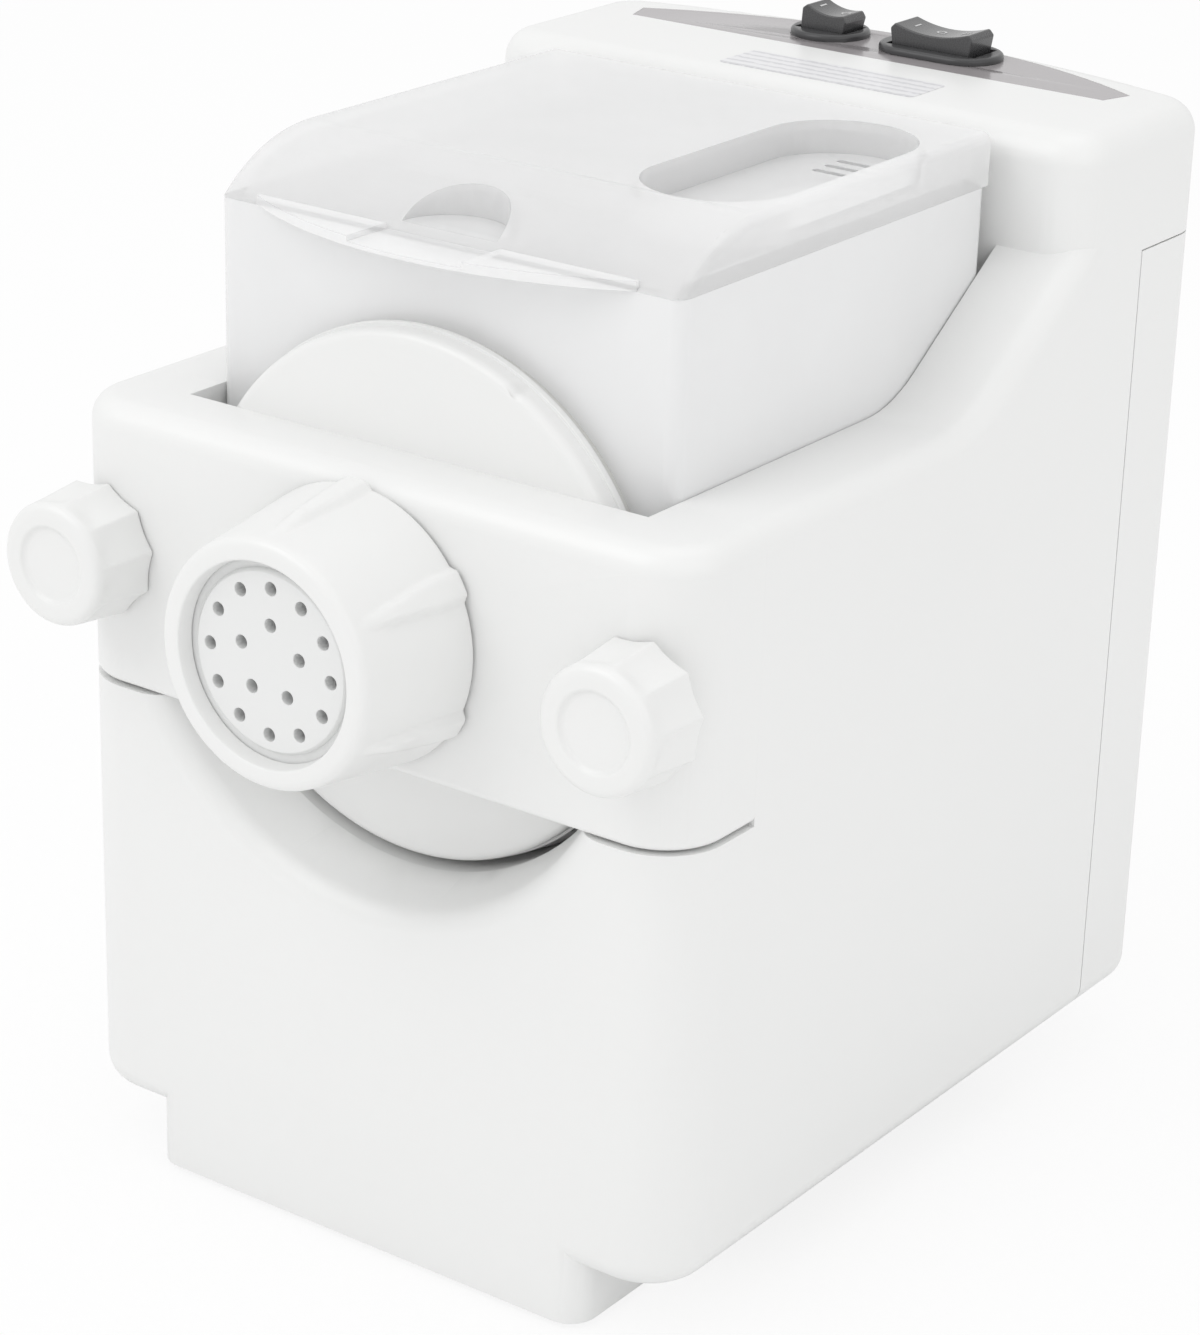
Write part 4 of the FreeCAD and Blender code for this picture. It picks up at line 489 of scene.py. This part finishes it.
def frontDisc():
    # the disc that closes the bowl, with its barrel and the funnel behind it
    y = {name: (disc[name] - 112) * mm for name in ("tip", "face", "back", "end", "throat", "funnel")}
    step = y["back"] - disc["flangeDepth"] * mm
    corners = [(y["tip"], "bore", 0.4), (y["tip"], "barrel", 0.8), (y["face"], "barrel", 1.2),
               (y["face"], "front", 3.2), (step, "front", 0.3), (step, "flange", 0.3),
               (y["back"], "flange", 0.6), (y["back"], "spigot", 0.4), (y["end"], "spigot", 0.5),
               (y["end"], "spigotBore", 0.5), (y["funnel"], "funnelBore", 1.5), (y["throat"], "bore", 1.5)]
    outline = rounded([(place, disc[size] * mm, cut * mm) for place, size, cut in corners], 5)
    mesh = turned(outline, (0.0, axisHeight), disc["steps"])

    def notch(angle, place, radius):
        inside = abs(math.degrees(angle) - disc["notchTurn"]) < disc["notchHalf"] \
            and radius > disc["notchFloor"] * mm and place < y["back"] - disc["notchEnd"] * mm
        return radius - disc["notchDepth"] * mm if inside else radius

    reshape(mesh, (0.0, axisHeight), notch)
    settle(mesh, "frontDisc", "whiteKnob", bodyOf["front_plate"],
           ["front_plate"])


thumbKnob(-1)
thumbKnob(1)
ribbedNut()
frontDisc()
print("turned pieces done")

shells = {"main_housing": ("whiteShell", 0.6, 3), "rear_cover": ("whiteShell", 0.5, 2),
          "front_bracket": ("whiteShell", 0.6, 3), "base_plate": ("baseTray", 0.6, 2),
          "mixing_bowl": ("bowlClear", 0.6, 3), "bowl_lid": ("lidClear", 0.5, 3),
          "die": ("whiteDie", 0.25, 2), "mixing_paddle": ("paddlePlastic", 0.6, 2),
          "control_panel": ("panelGrey", 0.25, 2), "small_switch_case": ("switchBlack", 0.25, 2),
          "main_switch_case": ("switchBlack", 0.25, 2), "small_rocker": ("rockerGrey", 0.5, 3),
          "main_rocker": ("rockerGrey", 0.5, 3), "rubber_feet": ("footRubber", 0.3, 2),
          "bracket_studs": ("screwSteel", 0.2, 2), "cord_gland": ("switchBlack", 0.3, 2)}
# clear parts whose rounded rims are painted grey, painted shade standing in for refraction
rimShadeFinishes = {"mixing_bowl": "bowlRimPaintedShade", "bowl_lid": "lidRimPaintedShade"}
for node, (finish, width, segments) in shells.items():
    shellFrom(node, finish, width * mm, segments, rimShadeFinishes.get(node))
print("shells rounded")

label = {"left": -26.0, "right": 38.0, "front": 78.5, "rear": 97.0, "corner": 2.0, "top": 286.02,
         "thick": 0.12, "lines": 9.0, "paper": (0.80, 0.80, 0.815, 1), "ink": (0.42, 0.42, 0.45, 1),
         "inkShare": 0.42, "inkGain": 1.6, "strokeScale": 420.0, "rough": 0.35}


def labelFinish():
    # pale paper with grey rows that hold no words
    made = Finish("labelPaper")
    rowScale = label["lines"] / ((label["rear"] - label["front"]) * mm) / math.tau
    rows = made.node("ShaderNodeTexWave", {"bands_direction": "Y"},
                     {"Vector": made.place, "Scale": rowScale, "Distortion": 0.0}, output=1)
    stretched = made.node("ShaderNodeMapping", {}, {"Vector": made.place, "Scale": (1.0, 3.0, 1.0)})
    strokes = made.node("ShaderNodeTexNoise", {}, {"Vector": stretched, "Scale": label["strokeScale"],
                                                   "Detail": 2.0})
    ink = made.node("ShaderNodeValToRGB", {"stops": ((0.50, 0.0), (0.62, 1.0))},
                    {"Fac": rows * strokes * label["inkGain"]})
    tone = made.blendColour(ink * label["inkShare"], label["paper"], label["ink"])
    return made.close(made.node("ShaderNodeBsdfPrincipled", {}, {
        "Base Color": tone, "Roughness": label["rough"] + (strokes - 0.5) * 0.1}))


def towerLabel():
    # the plain label plate on the tower
    finishes["labelPaper"] = labelFinish()
    corners = [(label[x], label[y], label["corner"]) for x, y in
               (("left", "front"), ("right", "front"), ("right", "rear"), ("left", "rear"))]
    mesh = bmesh.new()
    verts = [mesh.verts.new((x * mm, y * mm, label["top"] * mm)) for x, y in rounded(corners, 5)]
    face = mesh.faces.new(verts)
    lifted = bmesh.ops.extrude_face_region(mesh, geom=[face])
    for vert in lifted["geom"]:
        if isinstance(vert, bmesh.types.BMVert):
            vert.co.z += label["thick"] * mm
    bmesh.ops.recalc_face_normals(mesh, faces=mesh.faces)
    settle(mesh, "ratingLabel", "labelPaper", bodyOf["main_housing"], smooth=False)


rockers = {"main_rocker": {"x": 16.0, "length": 29.0, "tilt": 0.0, "signs": ("bar", "ring", "bars")},
           "small_rocker": {"x": -21.5, "length": 17.0, "tilt": 9.0, "signs": ("bar", "ring")}}
stroke = {"long": 3.2, "wide": 0.55, "proud": 0.06, "thick": 0.1, "ring": 1.5, "ringSteps": 24,
          "spread": 0.66, "pair": 0.8, "rise": 8.0, "sagShare": 0.07, "crestEnd": 2.4, "y": 130.0,
          "level": 286.0}


def signFaces(sign, middle):
    # the flat (x, y) faces of one sign around its middle
    if sign == "ring":
        outer, inner = stroke["ring"], stroke["ring"] - stroke["wide"]
        turns = [math.tau * step / stroke["ringSteps"] for step in range(stroke["ringSteps"])]
        return [[(middle + radius * math.cos(turn), radius * math.sin(turn)) for radius, turn in
                 ((outer, a), (outer, b), (inner, b), (inner, a))]
                for a, b in zip(turns, turns[1:] + [math.tau])]
    shifts = (-stroke["pair"], stroke["pair"]) if sign == "bars" else (0.0,)
    half, tall = stroke["wide"] / 2, stroke["long"] / 2
    return [[(middle + shift + x, y) for x, y in
             ((-half, -tall), (half, -tall), (half, tall), (-half, tall))] for shift in shifts]


def rockerSigns(node):
    # plain on and off signs that lie on the hollow top of a rocker
    spec = rockers[node]
    sag = spec["length"] * stroke["sagShare"]
    crest = spec["length"] / 2 - stroke["crestEnd"]
    bend = (crest * crest + sag * sag) / (sag * 2)
    lean = math.radians(spec["tilt"])
    last = len(spec["signs"]) - 1
    mesh = bmesh.new()
    for index, sign in enumerate(spec["signs"]):
        for outline in signFaces(sign, (index / last * 2 - 1) * crest * stroke["spread"]):
            corners = []
            for x, y in outline:
                up = stroke["rise"] - sag + bend - math.sqrt(bend * bend - x * x) + stroke["proud"]
                across = x * math.cos(lean) + up * math.sin(lean)
                lift = up * math.cos(lean) - x * math.sin(lean)
                corners.append(mesh.verts.new(((spec["x"] + across) * mm, (stroke["y"] + y) * mm,
                                               (stroke["level"] + lift) * mm)))
            mesh.faces.new(corners)
    bmesh.ops.remove_doubles(mesh, verts=mesh.verts, dist=0.002 * mm)
    bmesh.ops.recalc_face_normals(mesh, faces=mesh.faces)
    piece = settle(mesh, node.split("_")[0] + "RockerSigns", "legendWhite", bodyOf[node],
                   smooth=False)
    skin = piece.modifiers.new("ink", "SOLIDIFY")
    skin.thickness = stroke["thick"] * mm
    skin.offset = 0


towerLabel()
for node in rockers:
    rockerSigns(node)
print("label and signs placed")

hidden = {"base_screws": "screwSteel", "front_plate_seal": "sealRubber", "drive_shaft": "screwSteel",
          "output_gear": "gearPlastic", "idler_gear": "gearPlastic", "motor_pinion": "gearBrass",
          "gear_plate_front": "plateSteel", "gear_plate_rear": "plateSteel", "gear_frame_posts": "screwSteel",
          "gear_frame_screws": "screwSteel", "idler_pin": "screwSteel", "output_bush": "gearBrass",
          "shaft_seal": "sealRubber", "motor_casing": "plateSteel", "motor_rotor": "screwSteel",
          "motor_fan": "paddlePlastic", "motor_mount": "baseTray", "motor_cradle": "baseTray",
          "run_capacitor": "capacitorCan", "interlock_switch": "switchBlack"}
for node, finish in hidden.items():
    nodes[node].data.materials.clear()
    nodes[node].data.materials.append(finishes[finish])
print("inner pieces finished")

studio = {"floorColour": (0.93, 0.93, 0.93, 1), "floorSize": 6.0, "floorGlow": 0.86, "skyStrength": 0.86,
          "aim": (0, 0, 0.12),
          "lamps": {"key": {"place": (-0.9, -1.5, 1.9), "size": 1.6, "power": 10.5},
                    "fill": {"place": (1.8, -0.6, 1.0), "size": 1.6, "power": 3.0},
                    "top": {"place": (0.1, 0.2, 2.2), "size": 1.4, "power": 3.0}}}


def makeSky():
    # an even sky that lights the object below full strength and shows white to the camera
    world = bpy.data.worlds.new("studioSky")
    bpy.context.scene.world = world
    world.use_nodes = True
    tree = world.node_tree
    tree.nodes.clear()
    path = tree.nodes.new("ShaderNodeLightPath")
    seen = tree.nodes.new("ShaderNodeMath")
    seen.operation = "MAXIMUM"
    tree.links.new(path.outputs["Is Camera Ray"], seen.inputs[0])
    tree.links.new(path.outputs["Is Transmission Ray"], seen.inputs[1])
    level = tree.nodes.new("ShaderNodeMapRange")
    level.inputs["To Min"].default_value = studio["skyStrength"]
    level.inputs["To Max"].default_value = 1.0
    tree.links.new(seen.outputs[0], level.inputs["Value"])
    sky = tree.nodes.new("ShaderNodeBackground")
    sky.inputs["Color"].default_value = (1, 1, 1, 1)
    tree.links.new(level.outputs[0], sky.inputs["Strength"])
    end = tree.nodes.new("ShaderNodeOutputWorld")
    tree.links.new(sky.outputs[0], end.inputs["Surface"])


def makeFloor():
    # a pale floor that keeps the object's shadow
    mesh = bmesh.new()
    bmesh.ops.create_grid(mesh, x_segments=8, y_segments=8, size=studio["floorSize"])
    data = bpy.data.meshes.new("studioFloor")
    mesh.to_mesh(data)
    mesh.free()
    floor = bpy.data.objects.new("studioFloor", data)
    bpy.context.scene.collection.objects.link(floor)
    made = Finish("paleFloor")
    ray = made.node("ShaderNodeLightPath", output="Is Camera Ray")
    paint = made.node("ShaderNodeBsdfDiffuse", {}, {"Color": studio["floorColour"]})
    glow = made.node("ShaderNodeEmission", {}, {"Color": (1, 1, 1, 1), "Strength": 1.0})
    mixed = made.node("ShaderNodeMixShader", {}, {0: ray * studio["floorGlow"], 1: paint, 2: glow})
    data.materials.append(made.close(mixed))


def makeLamps():
    # three soft area lamps that face the middle of the object
    for name, spec in studio["lamps"].items():
        lamp = bpy.data.lights.new(name, "AREA")
        lamp.size = spec["size"]
        lamp.energy = spec["power"]
        holder = bpy.data.objects.new(name, lamp)
        bpy.context.scene.collection.objects.link(holder)
        holder.location = spec["place"]
        towards = Vector(studio["aim"]) - Vector(spec["place"])
        holder.rotation_euler = towards.to_track_quat("-Z", "Y").to_euler()


view = {"place": (0.56728, -0.80589, 0.53176), "azimuth": 35.53, "elevation": 23.0, "roll": 1.56,
        "lens": 103.11, "sensor": 36, "shiftX": 0.0084, "shiftY": 0.0485, "farEnd": 30}


def makeCamera():
    # the photograph's own viewpoint
    turn, lift, roll = (math.radians(view[key]) for key in ("azimuth", "elevation", "roll"))
    back = Vector((math.sin(turn) * math.cos(lift), -math.cos(turn) * math.cos(lift), math.sin(lift)))
    level = Vector((math.cos(turn), math.sin(turn), 0))
    right = level * math.cos(roll) + back.cross(level) * math.sin(roll)
    up = back.cross(right)
    lens = bpy.data.cameras.new("productCamera")
    lens.lens = view["lens"]
    lens.sensor_width = view["sensor"]
    lens.shift_x = view["shiftX"]
    lens.shift_y = view["shiftY"]
    lens.clip_end = view["farEnd"]
    camera = bpy.data.objects.new("productCamera", lens)
    bpy.context.scene.collection.objects.link(camera)
    turnTo = Matrix((right, up, back)).transposed().to_4x4()
    camera.matrix_world = Matrix.Translation(view["place"]) @ turnTo
    bpy.context.scene.camera = camera


makeSky()
makeFloor()
makeLamps()
makeCamera()
bpy.context.scene.view_settings.view_transform = "Standard"
print("studio and camera set")
